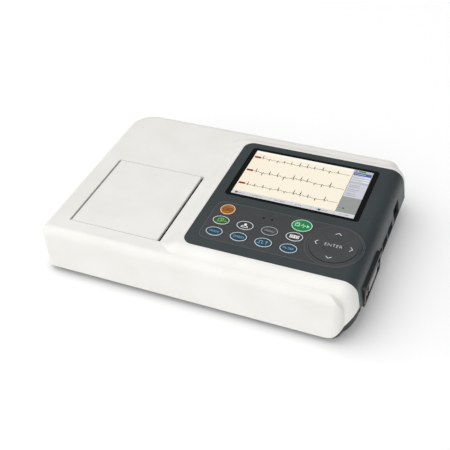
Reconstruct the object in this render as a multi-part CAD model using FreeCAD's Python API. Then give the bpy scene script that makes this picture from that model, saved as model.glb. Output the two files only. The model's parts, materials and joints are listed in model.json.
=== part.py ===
import FreeCAD, Part
import os
from math import asin, atan2, cos, degrees, hypot, pi, radians, sin, sqrt, tan

# Portable ECG recorder: a white housing with a paper printer under its flat left deck and a raised
# pod on its right that carries the display and keys.  Millimetres, +Z up, origin on the table under
# the middle of the whole object.  +X runs to the connector end, -Y to the operator.

V = FreeCAD.Vector

# ---- Overall sizes -----------------------------------------------------------------------------
BODY_LENGTH = 274.2        # left face to the pod's right face
BODY_DEPTH = 190.5         # front face to back face
DECK_HEIGHT = 47.0         # table to the flat deck
POD_RISE = 5.0             # deck to the pod's top
FOOT_HEIGHT = 2.0          # rubber showing under the base
WALL = 2.5                 # housing and panel walls
CONNECTOR_STANDOFF = 1.2   # lead connector frame proud of the right face

LEFT = -(BODY_LENGTH + CONNECTOR_STANDOFF) / 2
RIGHT = LEFT + BODY_LENGTH
FRONT, BACK = -BODY_DEPTH / 2, BODY_DEPTH / 2
BASE = FOOT_HEIGHT
DECK = DECK_HEIGHT
POD_TOP = DECK + POD_RISE

# ---- Housing shape -----------------------------------------------------------------------------
EDGE_R = 8.0               # rounding of the deck's outer edge
END_R = 13.0               # rounding over the right end, on deck and pod
END_LEAN = 7.5             # degrees that the right faces lean in above the split
POD_R = 12.0               # rounding of the pod's front and back edges
FRONT_CORNER_R = 8.8
BACK_LEFT_CORNER_R = 24.0
BACK_RIGHT_CORNER_R = 13.0
POD_OVERHANG = 8.5         # pod's right face beyond the shoulders' right face
POD_FRONT_SETBACK = 6.4    # pod's front plane behind the housing's front face
POD_BACK_SETBACK = 11.4
PARTING_RISE = 4.0         # base to the housing split along most of the body
PARTING_START = 14.5       # where the split starts to climb, in from the shoulder's right face
PARTING_R = 14.0           # curve at the start of the climb
PARTING_CLIMB = 57.0       # degrees
KNEE_RISE = 23.0           # base to where the right faces stop leaning out
KEEL_R = 31.0              # curve that brings the right end down into the base
KEEL_RISE = 22.0           # base to where that curve leaves the pod's right face
BASE_STEP = 0.8            # lower housing set in under the upper one
BASE_EDGE_R = 7.5          # rounding under the lower housing
BASE_WALL = 2.2
SEAM = 0.15                # gap between housing and control panel, all round
LEDGE = 4.0                # flange of the upper housing under the panel's edge
LEDGE_THICKNESS = 1.6
SHOULDER_RIGHT = RIGHT - POD_OVERHANG
KEEL_X = RIGHT - sqrt(KEEL_R ** 2 - (KEEL_R - KEEL_RISE) ** 2)
FLOOR = BASE + BASE_WALL

# ---- Paper door, its opening and the paper bay ---------------------------------------------------
DOOR_MARGIN_LEFT = 21.9    # housing's left face to the door
DOOR_LENGTH = 81.7         # along X
DOOR_WIDTH = 89.8          # along Y
DOOR_SETBACK = 19.1        # housing's front face to the door
DOOR_THICKNESS = 2.5
DOOR_GAP = 0.45            # at the door's front and back edges
HINGE_GAP = 1.1            # along the hinge edge
PAPER_SLOT = 2.8           # along the free edge
BARREL_R = 2.0             # rounded hinge edge, concentric with the pin
HINGE_PIN_R = 0.8
PIN_CLEARANCE = 0.05       # radial, door on pin and roller in bushes
PIN_GRIP = 7.0             # pin length held in the housing at each end
DOOR_LEFT = LEFT + DOOR_MARGIN_LEFT
DOOR_RIGHT = DOOR_LEFT + DOOR_LENGTH
DOOR_FRONT = FRONT + DOOR_SETBACK
DOOR_BACK = DOOR_FRONT + DOOR_WIDTH
DOOR_Y = (DOOR_FRONT + DOOR_BACK) / 2
HINGE_X, HINGE_Z = DOOR_LEFT + BARREL_R, DECK - BARREL_R
OPENING = (DOOR_LEFT - HINGE_GAP, DOOR_RIGHT + PAPER_SLOT, DOOR_FRONT - DOOR_GAP, DOOR_BACK + DOOR_GAP)

PAPER_WIDTH = 80.0
ROLL_R = 17.0
CORE_R, CORE_WALL = 8.0, 1.2
SPINDLE_R = 3.0
SPINDLE_CLEARANCE = 0.4    # in the tray's slots
ROLL_FROM_HINGE = 25.5     # hinge line to the roll's axis, along X
ROLL_TOP_GAP = 2.0         # roll to the closed door
TRAY_WALL = 1.5
TRAY_FLOOR = FLOOR + 1.2
TRAY_LIP = 17.0            # table to the top of the tray's wall on the platen side
ROLL_X = HINGE_X + ROLL_FROM_HINGE
ROLL_Z = DECK - DOOR_THICKNESS - ROLL_TOP_GAP - ROLL_R

# ---- Printer -------------------------------------------------------------------------------------
PLATEN_R = 5.0
PLATEN_SHAFT_R = 2.0
PLATEN_DROP = 8.6          # deck to the platen's axis
PAPER_PATH = 0.5           # platen to print head
HEAD_LEAN = 6.0            # degrees, so that the platen can lift past it
HEAD_THICKNESS = 4.0
HEAD_HEIGHT = 19.0
HEATER = (10.0, 1.0)       # height and thickness of the heater strip on the head's face
HEAD_PIVOT_BACK, HEAD_PIVOT_DROP = 1.4, 15.0   # rod's axis behind the head's block and below the platen
ARM = 1.8                  # door arms that hold the platen's bushes
ARM_MARGIN = 0.9           # door edge to the front arm
BUSH_R = 3.0
SIDE_PLAY = 0.5            # between parts along the platen's shaft
GEAR_WIDTH = 2.5
GEAR_MODULE = 0.6
PLATEN_TEETH, IDLER_TEETH, PINION_TEETH = 16, 24, 14
GEAR_BACKLASH = 0.12       # taken off each tooth's thickness
GEAR_SPREAD = 0.05         # added to each centre distance
MOTOR_R, MOTOR_LENGTH, MOTOR_SHAFT_R = 9.0, 15.0, 1.0
STUD_R = 1.5
SHEET = 1.5                # printer chassis
PLATEN_X, PLATEN_Z = DOOR_RIGHT - PLATEN_R + 0.3, DECK - PLATEN_DROP

# ---- Boards, battery and sockets -------------------------------------------------------------------
SCREW_R = 1.5                    # M3 thread
SCREW_HOLE_PLAY = 0.2
COVER_SCREW_R = 1.0              # M2 thread
COVER_SCREW_SINK = 0.8           # head let into the battery cover
BOSS_R = 3.6
POST_TOP = 20.0                  # where the lower posts meet the upper bosses
POST_WEB = 3.0
POST_PLAY = 0.15                 # lower posts inside the upper housing's wall
SCREW_INSET = 9.5                # screws in from the faces nearest to them
FOOT_R = 7.0
FOOT_INSET = (30.0, 17.0)
FOOT_SEAT = 1.0                  # foot let into the base
MAIN_BOARD_TOP = 25.6
LEAD_BOARD_TOP = 21.6
LEAD_BOARD_GAP = 2.1             # board's end to the inside of the right face
POWER_BOARD_TOP = 15.6
BATTERY = (68.0, 43.0, 14.0)
BATTERY_LEFT = 6.0               # panel's left edge to the battery
BATTERY_FRONT = 20.0             # housing's front face to the battery
COVER_THICKNESS = 1.6
COVER_PLAY = 0.3
COVER_LIP = 5.0
SPEAKER_R, SPEAKER_HEIGHT = 14.0, 7.0
SPEAKER_FROM_END = 58.0
NETWORK_SOCKET = (16.0, 13.4, 16.0)    # width, height, depth
USB_SOCKET = (14.5, 7.0, 14.0)
ROUND_SOCKET_R = 3.4
SOCKET_Y = {"network": -30.4, "usb": (-52.4, -69.4), "round": -82.4}   # from the panel's back edge
SOCKET_SET_BACK = 3.6            # socket mouths inside the right face
SOCKET_PLAY = 0.4
LEAD_FROM_FRONT = 33.9           # panel's front edge to the patient connector's centre
LEAD_Z = 28.0
LEAD_FRAME = (49.0, 20.0)
LEAD_MOUTH = (41.0, 14.4)
LEAD_FLANGE = (39.2, 12.5)
LEAD_SHELL = (25.0, 8.4)
LEAD_BODY = 12.0                 # depth behind the flange
JACK_SPACING = 33.3
JACK_R, JACK_HOLE_R, JACK_LENGTH = 2.4, 1.2, 5.0
LEAD_FLANGE_SINK = 4.0           # connector's flange inside the right face
INLET = (27.5, 19.8, 22.0)       # width, height, depth
INLET_MOUTH = (24.2, 16.4, 15.5)
INLET_FLANGE = (31.0, 23.4, 1.5)
INLET_SINK = 0.8                 # inlet's face inside the back face
INLET_FROM_LEFT = 44.0
INLET_Z = 26.0
BONDING_R, BONDING_LENGTH = 3.0, 10.0
BONDING_CUP = (8.5, 12.0)        # radius and depth of the recess round the pin
BONDING_FROM_INLET = 36.0

# ---- Control panel, display and keys --------------------------------------------------------------
POD_BLEND = 18.0           # S-shaped slope from the deck up to the pod
PANEL_FRONT_RIM = 0.9      # flat white rim between the pod's rounding and the panel
PANEL_CORNER_R = 9.0
PANEL_SKIRT = 10.0         # base to the panel's lower edge on the right end
BLEND_FOOT = OPENING[1] + 0.6
PANEL_LEFT = BLEND_FOOT + POD_BLEND + 0.2
PANEL_FRONT = FRONT + POD_FRONT_SETBACK + POD_R + PANEL_FRONT_RIM
PANEL_BACK = BACK - POD_BACK_SETBACK - POD_R - PANEL_FRONT_RIM

WINDOW = (117.5, 71.1, 1.5)      # display glass: length, depth, thickness
WINDOW_LEFT_MARGIN = 9.3
WINDOW_BACK_MARGIN = 7.1
WINDOW_CORNER_R = 3.0
WINDOW_PLAY = 0.15
ACTIVE_AREA = (108.0, 64.8)      # lit area, five-inch diagonal
LCD = (121.0, 76.0, 4.6)
LCD_GAP = 0.2
BRACKET_THICKNESS = 1.2
WINDOW_X = PANEL_LEFT + WINDOW_LEFT_MARGIN + WINDOW[0] / 2
WINDOW_Y = PANEL_BACK - WINDOW_BACK_MARGIN - WINDOW[1] / 2

OVERLAY_R = 24.9                 # half the overlay's depth, and its round right end
OVERLAY_CORNER_R = 8.0
OVERLAY_THICKNESS = 0.6
OVERLAY_LEFT_MARGIN = 8.4
OVERLAY_FRONT_MARGIN = 9.7
KEY_FIRST = (12.4, 14.6)         # first column and top row, from the overlay's left and back edges
KEY_PITCH = (21.15, 14.6)
NAV_FROM_LEFT = 108.3            # overlay's left edge to the pad's centre
KEY_RISE = 0.55                  # cap above the overlay
KEY_TRAVEL = 0.5
KEY_GAP = 0.35                   # round each cap
KEY_OVAL = (7.1, 5.2)            # half length and half width of the small keys
PRINT_OVAL = (8.6, 7.2)
POWER_R = 6.3
ENTER_R = 7.7
ARROW_R = (8.4, 19.3)            # inner and outer radius of the four arrow keys
FLANGE = 1.0                     # key flange beyond its cap, which stops it leaving the panel
FLANGE_THICKNESS = 1.2
STEM_R = 2.0
LIGHT_R = 1.1
LIGHT_FROM_FIRST_KEY = (32.0, 39.2)
OVERLAY_LEFT = PANEL_LEFT + OVERLAY_LEFT_MARGIN
OVERLAY_Y = PANEL_FRONT + OVERLAY_FRONT_MARGIN + OVERLAY_R
KEY_X0, KEY_Y0 = OVERLAY_LEFT + KEY_FIRST[0], OVERLAY_Y + OVERLAY_R - KEY_FIRST[1] + 4.3
NAV_X, NAV_Y = OVERLAY_LEFT + NAV_FROM_LEFT, OVERLAY_Y
PANEL_UNDER = POD_TOP - WALL
PCB = 1.6
KEY_BOARD_TOP = PANEL_UNDER - 4.1
DOME_HEIGHT = 0.3


def box(x0, x1, y0, y1, z0, z1):
    return Part.makeBox(x1 - x0, y1 - y0, z1 - z0, V(x0, y0, z0))


def rod(x, y, z, r, length, axis):
    """Cylinder that starts at the point and runs along the axis."""
    return Part.makeCylinder(r, length, V(x, y, z), V(*axis))


def upright(x, y, r, z0, z1):
    return rod(x, y, z0, r, z1 - z0, (0, 0, 1))


def across(x, z, r, y0, y1):
    return rod(x, y0, z, r, y1 - y0, (0, 1, 0))


def outward(y, z, r, x0, x1):
    return rod(x0, y, z, r, x1 - x0, (1, 0, 0))


def oval(x, y, a, b, z0, z1):
    """Elliptical prism, a along X and b along Y."""
    if abs(a - b) < 1e-6:
        return upright(x, y, a, z0, z1)
    major, minor = max(a, b), min(a, b)
    edge = Part.Ellipse(V(0, 0, 0), major, minor).toShape()
    if b > a:
        edge.rotate(V(0, 0, 0), V(0, 0, 1), 90)
    edge.translate(V(x, y, z0))
    return Part.Face(Part.Wire([edge])).extrude(V(0, 0, z1 - z0))


def fuse(shapes):
    return shapes[0].multiFuse(list(shapes[1:])).removeSplitter() if len(shapes) > 1 else shapes[0]


def vertical_edges(shape, x, y):
    """Edges that stand upright at one plan position."""
    found = []
    for edge in shape.Edges:
        a, b = edge.Vertexes[0].Point, edge.Vertexes[-1].Point
        if hypot(a.x - x, a.y - y) < 0.01 and hypot(b.x - x, b.y - y) < 0.01:
            found.append(edge)
    return found


def level_edges(shape, z):
    """Edges that lie wholly at one height."""
    return [e for e in shape.Edges if e.BoundBox.ZMax < z + 0.01 and e.BoundBox.ZMin > z - 0.01]


def rounded_box(x0, x1, y0, y1, z0, z1, r):
    solid = box(x0, x1, y0, y1, z0, z1)
    corners = [e for x in (x0, x1) for y in (y0, y1) for e in vertical_edges(solid, x, y)]
    return solid.makeFillet(r, corners)


def along_y(edges, y0, y1):
    """Closed outline in the XZ plane, drawn at y = 0, pushed from y0 to y1."""
    face = Part.Face(Part.Wire(Part.__sortEdges__(edges)))
    face.translate(V(0, y0, 0))
    return face.extrude(V(0, y1 - y0, 0))


def line(a, b):
    return Part.LineSegment(V(a[0], 0, a[1]), V(b[0], 0, b[1])).toShape()


def arc(a, mid, b):
    return Part.Arc(V(a[0], 0, a[1]), V(mid[0], 0, mid[1]), V(b[0], 0, b[1])).toShape()


def end_outline(x1, z1, r, z0):
    """Right end from its flat top round and down to z0: arc, leaning face, then an upright foot."""
    lean, knee = radians(END_LEAN), BASE + KNEE_RISE
    centre = (x1 - (r - (knee - z1 + r) * sin(lean)) / cos(lean), z1 - r)
    at = lambda angle: (centre[0] + r * cos(angle), centre[1] + r * sin(angle))
    return [arc(at(pi / 2), at(pi / 4 + lean / 2), at(lean)), line(at(lean), (x1, knee)),
            line((x1, knee), (x1, z0))], at(pi / 2)


def shoulders(inset, floor, under_r):
    """Lower, full-length part of the housing, shrunk by an inset on every side but its floor."""
    x0, x1 = LEFT + inset, SHOULDER_RIGHT - inset
    y0, y1, top = FRONT + inset, BACK - inset, DECK - inset
    solid = box(x0, x1, y0, y1, floor, top)
    corners = ((x0, y0, FRONT_CORNER_R), (x1, y0, FRONT_CORNER_R),
               (x0, y1, BACK_LEFT_CORNER_R), (x1, y1, BACK_RIGHT_CORNER_R))
    for x, y, r in corners:
        solid = solid.makeFillet(r - inset, vertical_edges(solid, x, y))
    solid = solid.makeFillet(EDGE_R - inset, level_edges(solid, top))
    if under_r:
        solid = solid.makeFillet(under_r, level_edges(solid, floor))
    end, start = end_outline(x1, top, END_R - inset, floor)
    outline = end + [line((x1, floor), (x0 - 1, floor)), line((x0 - 1, floor), (x0 - 1, top)),
                     line((x0 - 1, top), start)]
    return solid.common(along_y(outline, y0 - 1, y1 + 1))


def pod(inset, floor):
    """Raised right part, whose left side eases down onto the deck in two equal arcs."""
    foot, crest = BLEND_FOOT, BLEND_FOOT + POD_BLEND
    low, high, x1 = DECK - inset, POD_TOP - inset, RIGHT - inset
    radius = (POD_BLEND ** 2 + POD_RISE ** 2) / (4 * POD_RISE)
    half = asin(POD_BLEND / 2 / radius) / 2
    middle = ((foot + crest) / 2, (low + high) / 2)
    lower_mid = (foot + radius * sin(half), low + radius * (1 - cos(half)))
    upper_mid = (crest - radius * sin(half), high - radius * (1 - cos(half)))
    y0, y1 = FRONT + POD_FRONT_SETBACK + inset, BACK - POD_BACK_SETBACK - inset
    end, start = end_outline(x1, high, END_R - inset, floor)
    solid = along_y(end + [
        line((x1, floor), (foot, floor)), line((foot, floor), (foot, low)),
        arc((foot, low), lower_mid, middle), arc(middle, upper_mid, (crest, high)),
        line((crest, high), start)], y0, y1)
    ends = [e for e in solid.Edges
            if e.BoundBox.YLength < 0.01 and e.BoundBox.ZMax > floor + 0.01 and e.BoundBox.XMax > foot + 0.01]
    return solid.makeFillet(POD_R - inset, ends)


def above_keel(floor):
    """Everything over the floor and the curve that carries it up into the right end."""
    keel_r = KEEL_R - (floor - BASE)
    at = lambda angle: (KEEL_X + keel_r * sin(angle), floor + keel_r * (1 - cos(angle)))
    far_left, high = LEFT - 20, POD_TOP + 20
    return along_y([
        line((far_left, floor), at(0)), arc(at(0), at(pi / 4), at(pi / 2)),
        line(at(pi / 2), (at(pi / 2)[0], high)), line((at(pi / 2)[0], high), (far_left, high)),
        line((far_left, high), (far_left, floor))], FRONT - 20, BACK + 20)


def body_form(inset, floor=BASE, under_r=0):
    form = shoulders(inset, floor, under_r).fuse(pod(inset, floor)).removeSplitter()
    return form.common(above_keel(floor))


def below_parting():
    """Everything under the split between the housings, which climbs towards the right end."""
    low, climb = BASE + PARTING_RISE, radians(PARTING_CLIMB)
    x0 = SHOULDER_RIGHT - PARTING_START
    at = lambda angle: (x0 + PARTING_R * sin(angle), low + PARTING_R * (1 - cos(angle)))
    far_left, far_right, deep = LEFT - 20, RIGHT + 20, BASE - 20
    high = at(climb)[1] + (far_right - at(climb)[0]) * tan(climb)
    return along_y([
        line((far_left, deep), (far_left, low)), line((far_left, low), (x0, low)),
        arc((x0, low), at(climb / 2), at(climb)), line(at(climb), (far_right, high)),
        line((far_right, high), (far_right, deep)), line((far_right, deep), (far_left, deep))],
        FRONT - 20, BACK + 20)


def panel_block(grow):
    """Everything that belongs to the control panel, grown outwards by a gap."""
    plan = rounded_box(PANEL_LEFT - grow, RIGHT + 60, PANEL_FRONT - grow, PANEL_BACK + grow,
                       BASE + PANEL_SKIRT - grow, POD_TOP + 20, PANEL_CORNER_R + grow)
    return plan


def gear(x, z, y0, teeth, bore, phase):
    """Involute spur gear whose axis is along Y; one tooth points at the phase angle from +X to +Z."""
    pitch = GEAR_MODULE * teeth / 2
    base = pitch * cos(radians(20))
    tip, root = pitch + GEAR_MODULE, pitch - 1.25 * GEAR_MODULE
    half = (pi / 2 - GEAR_BACKLASH / GEAR_MODULE) / teeth

    def flank(radius):
        involute = lambda q: sqrt(max((q / base) ** 2 - 1, 0)) - atan2(sqrt(max(q * q - base * base, 0)), base)
        return half + involute(pitch) - involute(max(radius, base))

    radii = [root + (tip - root) * k / 5 for k in range(6)]
    points = []
    for tooth in range(teeth):
        middle = radians(phase) + 2 * pi * tooth / teeth
        sides = [(r, middle - flank(r)) for r in radii] + [(r, middle + flank(r)) for r in reversed(radii)]
        points += [V(x + r * cos(a), y0, z + r * sin(a)) for r, a in sides]
    face = Part.Face(Part.makePolygon(points + points[:1]))
    return face.extrude(V(0, GEAR_WIDTH, 0)).cut(across(x, z, bore, y0 - 1, y0 + GEAR_WIDTH + 1))


def gear_places():
    """Platen gear, idler and pinion stand in one line, square to the hinge's radius at the platen."""
    lift = atan2(HINGE_Z - PLATEN_Z, PLATEN_X - HINGE_X)
    toward = (-sin(lift), -cos(lift))
    first = GEAR_MODULE * (PLATEN_TEETH + IDLER_TEETH) / 2 + GEAR_SPREAD
    second = first + GEAR_MODULE * (IDLER_TEETH + PINION_TEETH) / 2 + GEAR_SPREAD
    down = degrees(atan2(toward[1], toward[0]))
    spot = lambda d: (PLATEN_X + toward[0] * d, PLATEN_Z + toward[1] * d)
    return down, spot(first), spot(second)


def screw(x, y, z_head, length, r):
    """Pan-head screw put in from below, with a plain round drive recess."""
    head = upright(x, y, 1.9 * r, z_head - 0.55 * r, z_head)
    drive = upright(x, y, 0.7 * r, z_head - r, z_head - 0.2 * r)
    return head.fuse(upright(x, y, r, z_head, z_head + length)).removeSplitter().cut(drive)


def cover_screw_places():
    y = (BAY[2] + BAY[3]) / 2
    edge = COVER_LIP - COVER_PLAY - 2.6 * COVER_SCREW_R
    return [(BAY[0] - edge, y), (BAY[1] + edge, y)]


def screw_places():
    x0, x1 = LEFT + SCREW_INSET, SHOULDER_RIGHT - SCREW_INSET - 5
    y0, y1 = FRONT + SCREW_INSET, BACK - SCREW_INSET - 3
    middle = PANEL_LEFT - 9
    return [(x0, y0), (x0 + 5, y1 - 4), (middle, y0 - 1), (middle, y1), (x1, y0 + 1), (x1, y1 - 2)]


def foot_places():
    x0, x1 = LEFT + FOOT_INSET[0], SHOULDER_RIGHT - FOOT_INSET[0]
    return [(x, y) for x in (x0, x1) for y in (FRONT + FOOT_INSET[1], BACK - FOOT_INSET[1])]


def socket_places():
    """Each socket on the right end: name, centre along Y, width, height and height of its floor."""
    network, usb = NETWORK_SOCKET, USB_SOCKET
    rows = [("network", PANEL_BACK + SOCKET_Y["network"], network[0], network[1])]
    rows += [("usb", PANEL_BACK + y, usb[0], usb[1]) for y in SOCKET_Y["usb"]]
    return rows


LEAD_Y = PANEL_FRONT + LEAD_FROM_FRONT
ROUND_Y = PANEL_BACK + SOCKET_Y["round"]
ROUND_Z = MAIN_BOARD_TOP + ROUND_SOCKET_R + 0.6
INLET_X = LEFT + INLET_FROM_LEFT
BONDING_X = INLET_X + BONDING_FROM_INLET
SOCKET_FACE = RIGHT - SOCKET_SET_BACK
BATTERY_X = PANEL_LEFT + BATTERY_LEFT
BATTERY_Y = FRONT + BATTERY_FRONT
BAY = (BATTERY_X - 2, BATTERY_X + BATTERY[0] + 2, BATTERY_Y - 2, BATTERY_Y + BATTERY[1] + 2)
BAY_TOP = BASE + COVER_THICKNESS + COVER_PLAY + BATTERY[2] + COVER_PLAY
SPEAKER_X, SPEAKER_Y = RIGHT - SPEAKER_FROM_END, BACK - 36.0


# Board outlines: left, right, front and back edges.
MAIN = (PANEL_LEFT + 14, SOCKET_FACE - 1.0, WINDOW_Y - 44, WINDOW_Y + 40)
LEAD_BOARD = (BAY[1] + 5, RIGHT - WALL - LEAD_BOARD_GAP, LEAD_Y - 28, LEAD_Y + 24)
POWER_BOARD = (LEFT + 11, PLATEN_X - 13, DOOR_BACK + 19, DOOR_BACK + 57)


def standoffs(area, top, margin):
    """Moulded posts under a board's corners."""
    x0, x1, y0, y1 = area
    return [upright(x, y, 2.6, FLOOR - 0.3, top - PCB)
            for x in (x0 + margin, x1 - margin - 14) for y in (y0 + margin, y1 - margin)]


# ---- Housings ------------------------------------------------------------------------------------
OUTSIDE = body_form(0)
INSIDE = body_form(WALL, BASE + WALL)


def upper_housing():
    shell = OUTSIDE.cut(INSIDE).cut(panel_block(SEAM))
    flange = INSIDE.cut(body_form(WALL + LEDGE_THICKNESS))
    rim = panel_block(LEDGE / 2).cut(panel_block(-LEDGE / 2))
    shell = shell.fuse(flange.common(rim)).cut(below_parting())
    shell = shell.cut(box(*OPENING, DECK - 10, DECK + 1))
    lug_top = DECK - WALL + 0.1
    for y0, y1 in ((OPENING[2] - PIN_GRIP, OPENING[2]), (OPENING[3], OPENING[3] + PIN_GRIP)):
        lug = box(HINGE_X - 3, HINGE_X + 3, y0 - 1 if y1 == OPENING[2] else y0,
                  y1 if y1 == OPENING[2] else y1 + 1, DECK - 2 * BARREL_R - 1, lug_top)
        shell = shell.fuse(lug).cut(across(HINGE_X, HINGE_Z, HINGE_PIN_R, y0, y1))
    for x, y in screw_places():
        boss = upright(x, y, BOSS_R, POST_TOP, DECK - WALL + 0.3)
        shell = shell.fuse(boss).cut(upright(x, y, SCREW_R, POST_TOP - 1, POST_TOP + 14))
    cup = across(BONDING_X, INLET_Z, BONDING_CUP[0] + 1.5, BACK - BONDING_CUP[1] - 1.5, BACK - WALL / 2)
    shell = shell.fuse(cup).cut(across(BONDING_X, INLET_Z, BONDING_CUP[0], BACK - BONDING_CUP[1], BACK + 1))
    shell = shell.cut(across(BONDING_X, INLET_Z, 2.0, BACK - BONDING_CUP[1] - 3, BACK))
    w, h, d = INLET_FLANGE
    shell = shell.cut(box(INLET_X - w / 2 - 0.2, INLET_X + w / 2 + 0.2, BACK - d, BACK + 1,
                          INLET_Z - h / 2 - 0.2, INLET_Z + h / 2 + 0.2))
    w, h, d = INLET
    shell = shell.cut(box(INLET_X - w / 2 - 0.2, INLET_X + w / 2 + 0.2, BACK - 8, BACK,
                          INLET_Z - h / 2 - 0.2, INLET_Z + h / 2 + 0.2))
    return shell


def lower_housing():
    outer = body_form(BASE_STEP, BASE, BASE_EDGE_R)
    inner = body_form(BASE_STEP + BASE_WALL, FLOOR, BASE_EDGE_R - BASE_WALL)
    shell = outer.cut(inner).common(below_parting()).cut(panel_block(SEAM))
    posts = standoffs(MAIN, MAIN_BOARD_TOP, 5) + standoffs(POWER_BOARD, POWER_BOARD_TOP, 5)
    posts += standoffs(LEAD_BOARD, LEAD_BOARD_TOP, 4)
    for x, y in screw_places():
        posts.append(upright(x, y, BOSS_R + 0.6, FLOOR - 0.5, POST_TOP))
    for x, y in foot_places():
        posts.append(upright(x, y, FOOT_R + 1.5, FLOOR - 0.5, FLOOR + FOOT_SEAT))
    for x, y in cover_screw_places():
        posts.append(upright(x, y, 2.6, FLOOR - 0.5, FLOOR + 6))
    posts.append(box(BAY[0] - 1.5, BAY[1] + 1.5, BAY[2] - 1.5, BAY[3] + 1.5, FLOOR - 0.5, BAY_TOP + 1.5))
    upper_walls = OUTSIDE.cut(body_form(WALL + POST_PLAY, BASE + WALL + POST_PLAY)).cut(below_parting())
    shell = fuse([shell] + posts).common(outer).cut(upper_walls)
    for x, y in screw_places():
        shell = shell.cut(upright(x, y, SCREW_R + SCREW_HOLE_PLAY, BASE, POST_TOP + 1))
        shell = shell.cut(upright(x, y, 1.9 * SCREW_R + 0.4, BASE - 1, POST_TOP - POST_WEB))
    for x, y in cover_screw_places():
        shell = shell.cut(upright(x, y, COVER_SCREW_R, BASE, FLOOR + 5))
    for x, y in foot_places():
        shell = shell.cut(upright(x, y, FOOT_R, BASE - 1, BASE + FOOT_SEAT))
    shell = shell.cut(box(*BAY, BASE - 1, BAY_TOP))
    lip = COVER_LIP
    shell = shell.cut(box(BAY[0] - lip, BAY[1] + lip, BAY[2] - lip, BAY[3] + lip, BASE - 1, BASE + COVER_THICKNESS))
    grille = [(SPEAKER_X, SPEAKER_Y)]
    for ring, count in ((4.0, 6), (8.0, 12)):
        grille += [(SPEAKER_X + ring * cos(2 * pi * k / count), SPEAKER_Y + ring * sin(2 * pi * k / count))
                   for k in range(count)]
    for x, y in grille:
        shell = shell.cut(upright(x, y, 1.1, BASE - 1, FLOOR + 1))
    return shell


# ---- Keys and control panel ------------------------------------------------------------------------
def key_layout():
    """Name, centre and half sizes of every key but those of the navigation pad."""
    column = lambda k: KEY_X0 + k * KEY_PITCH[0]
    row = lambda k: KEY_Y0 - k * KEY_PITCH[1]
    keys = {"power_key": (column(0), row(0), POWER_R, POWER_R),
            "print_key": (column(3) + 1.4, row(0) + 0.3) + PRINT_OVAL}
    for k, name in enumerate(("copy_key", "patient_key", "menu_key", "lead_key")):
        keys[name] = (column(k), row(1)) + KEY_OVAL
    for k, name in enumerate(("mode_key", "speed_key", "gain_key", "filter_key")):
        keys[name] = (column(k), row(2)) + KEY_OVAL
    return keys


def arrow_sector(heading, inner, outer, gap, z0, z1):
    """Quarter of a ring, set back from its neighbours by half the gap on each side."""
    ring = upright(NAV_X, NAV_Y, outer, z0, z1).cut(upright(NAV_X, NAV_Y, inner, z0 - 1, z1 + 1))
    wedge = Part.makePolygon([V(0, 0, z0 - 1), V(2 * outer, -2 * outer, z0 - 1), V(2 * outer, 2 * outer, z0 - 1),
                              V(0, 0, z0 - 1)])
    wedge = Part.Face(wedge).extrude(V(0, 0, z1 - z0 + 2))
    wedge.translate(V(gap / 2 * sqrt(2), 0, 0))
    wedge.rotate(V(0, 0, 0), V(0, 0, 1), heading)
    wedge.translate(V(NAV_X, NAV_Y, 0))
    return ring.common(wedge)


CAP_TOP = POD_TOP + KEY_RISE
FLANGE_TOP = PANEL_UNDER - KEY_GAP
FLANGE_LOW = FLANGE_TOP - FLANGE_THICKNESS
STEM_LOW = KEY_BOARD_TOP + DOME_HEIGHT + KEY_TRAVEL + KEY_GAP
ARROWS = {"right_key": 0, "up_key": 90, "left_key": 180, "down_key": 270}


def push_key(x, y, a, b, flange=FLANGE):
    cap = oval(x, y, a, b, FLANGE_LOW + 0.1, CAP_TOP)
    cap = cap.makeFillet(KEY_RISE * 0.7, level_edges(cap, CAP_TOP))
    return fuse([cap, oval(x, y, a + flange, b + flange, FLANGE_LOW, FLANGE_TOP),
                 upright(x, y, STEM_R, STEM_LOW, FLANGE_LOW + 0.1)])


def arrow_key(heading):
    """Sector key, hollowed at its inner end so that the centre key's flange can pass below it."""
    inner, outer = ARROW_R
    clear = FLANGE_TOP + KEY_GAP + KEY_TRAVEL
    cap = arrow_sector(heading, inner, outer, KEY_GAP * 1.6, clear, CAP_TOP)
    cap = cap.makeFillet(KEY_RISE * 0.6, level_edges(cap, CAP_TOP))
    body = arrow_sector(heading, inner + FLANGE, outer, KEY_GAP * 1.6, FLANGE_LOW, clear + 0.1)
    foot = arrow_sector(heading, inner + FLANGE, outer + FLANGE, KEY_GAP * 1.6, FLANGE_LOW, FLANGE_TOP)
    reach = (inner + outer) / 2
    x, y = NAV_X + reach * cos(radians(heading)), NAV_Y + reach * sin(radians(heading))
    return fuse([cap, body, foot, upright(x, y, STEM_R, STEM_LOW, FLANGE_LOW + 0.1)])


def light_places():
    return [(KEY_X0 + dx, KEY_Y0 - 0.3) for dx in LIGHT_FROM_FIRST_KEY]


def overlay_outline(grow, z0, z1):
    """Film outline: rounded at the left, and a full half circle round the navigation pad."""
    r = OVERLAY_R + grow
    plate = rounded_box(OVERLAY_LEFT - grow, NAV_X, OVERLAY_Y - r, OVERLAY_Y + r, z0, z1, OVERLAY_CORNER_R)
    square = box(NAV_X - 2 * OVERLAY_CORNER_R, NAV_X, OVERLAY_Y - r, OVERLAY_Y + r, z0, z1)
    return fuse([plate, square, upright(NAV_X, OVERLAY_Y, r, z0, z1)])


def key_openings(z0, z1):
    """Everything that passes through the panel and the film over it."""
    cuts = [oval(x, y, a + KEY_GAP, b + KEY_GAP, z0, z1) for x, y, a, b in key_layout().values()]
    cuts.append(upright(NAV_X, NAV_Y, ARROW_R[1] + KEY_GAP, z0, z1))
    cuts += [upright(x, y, LIGHT_R, z0, z1) for x, y in light_places()]
    return cuts


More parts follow.
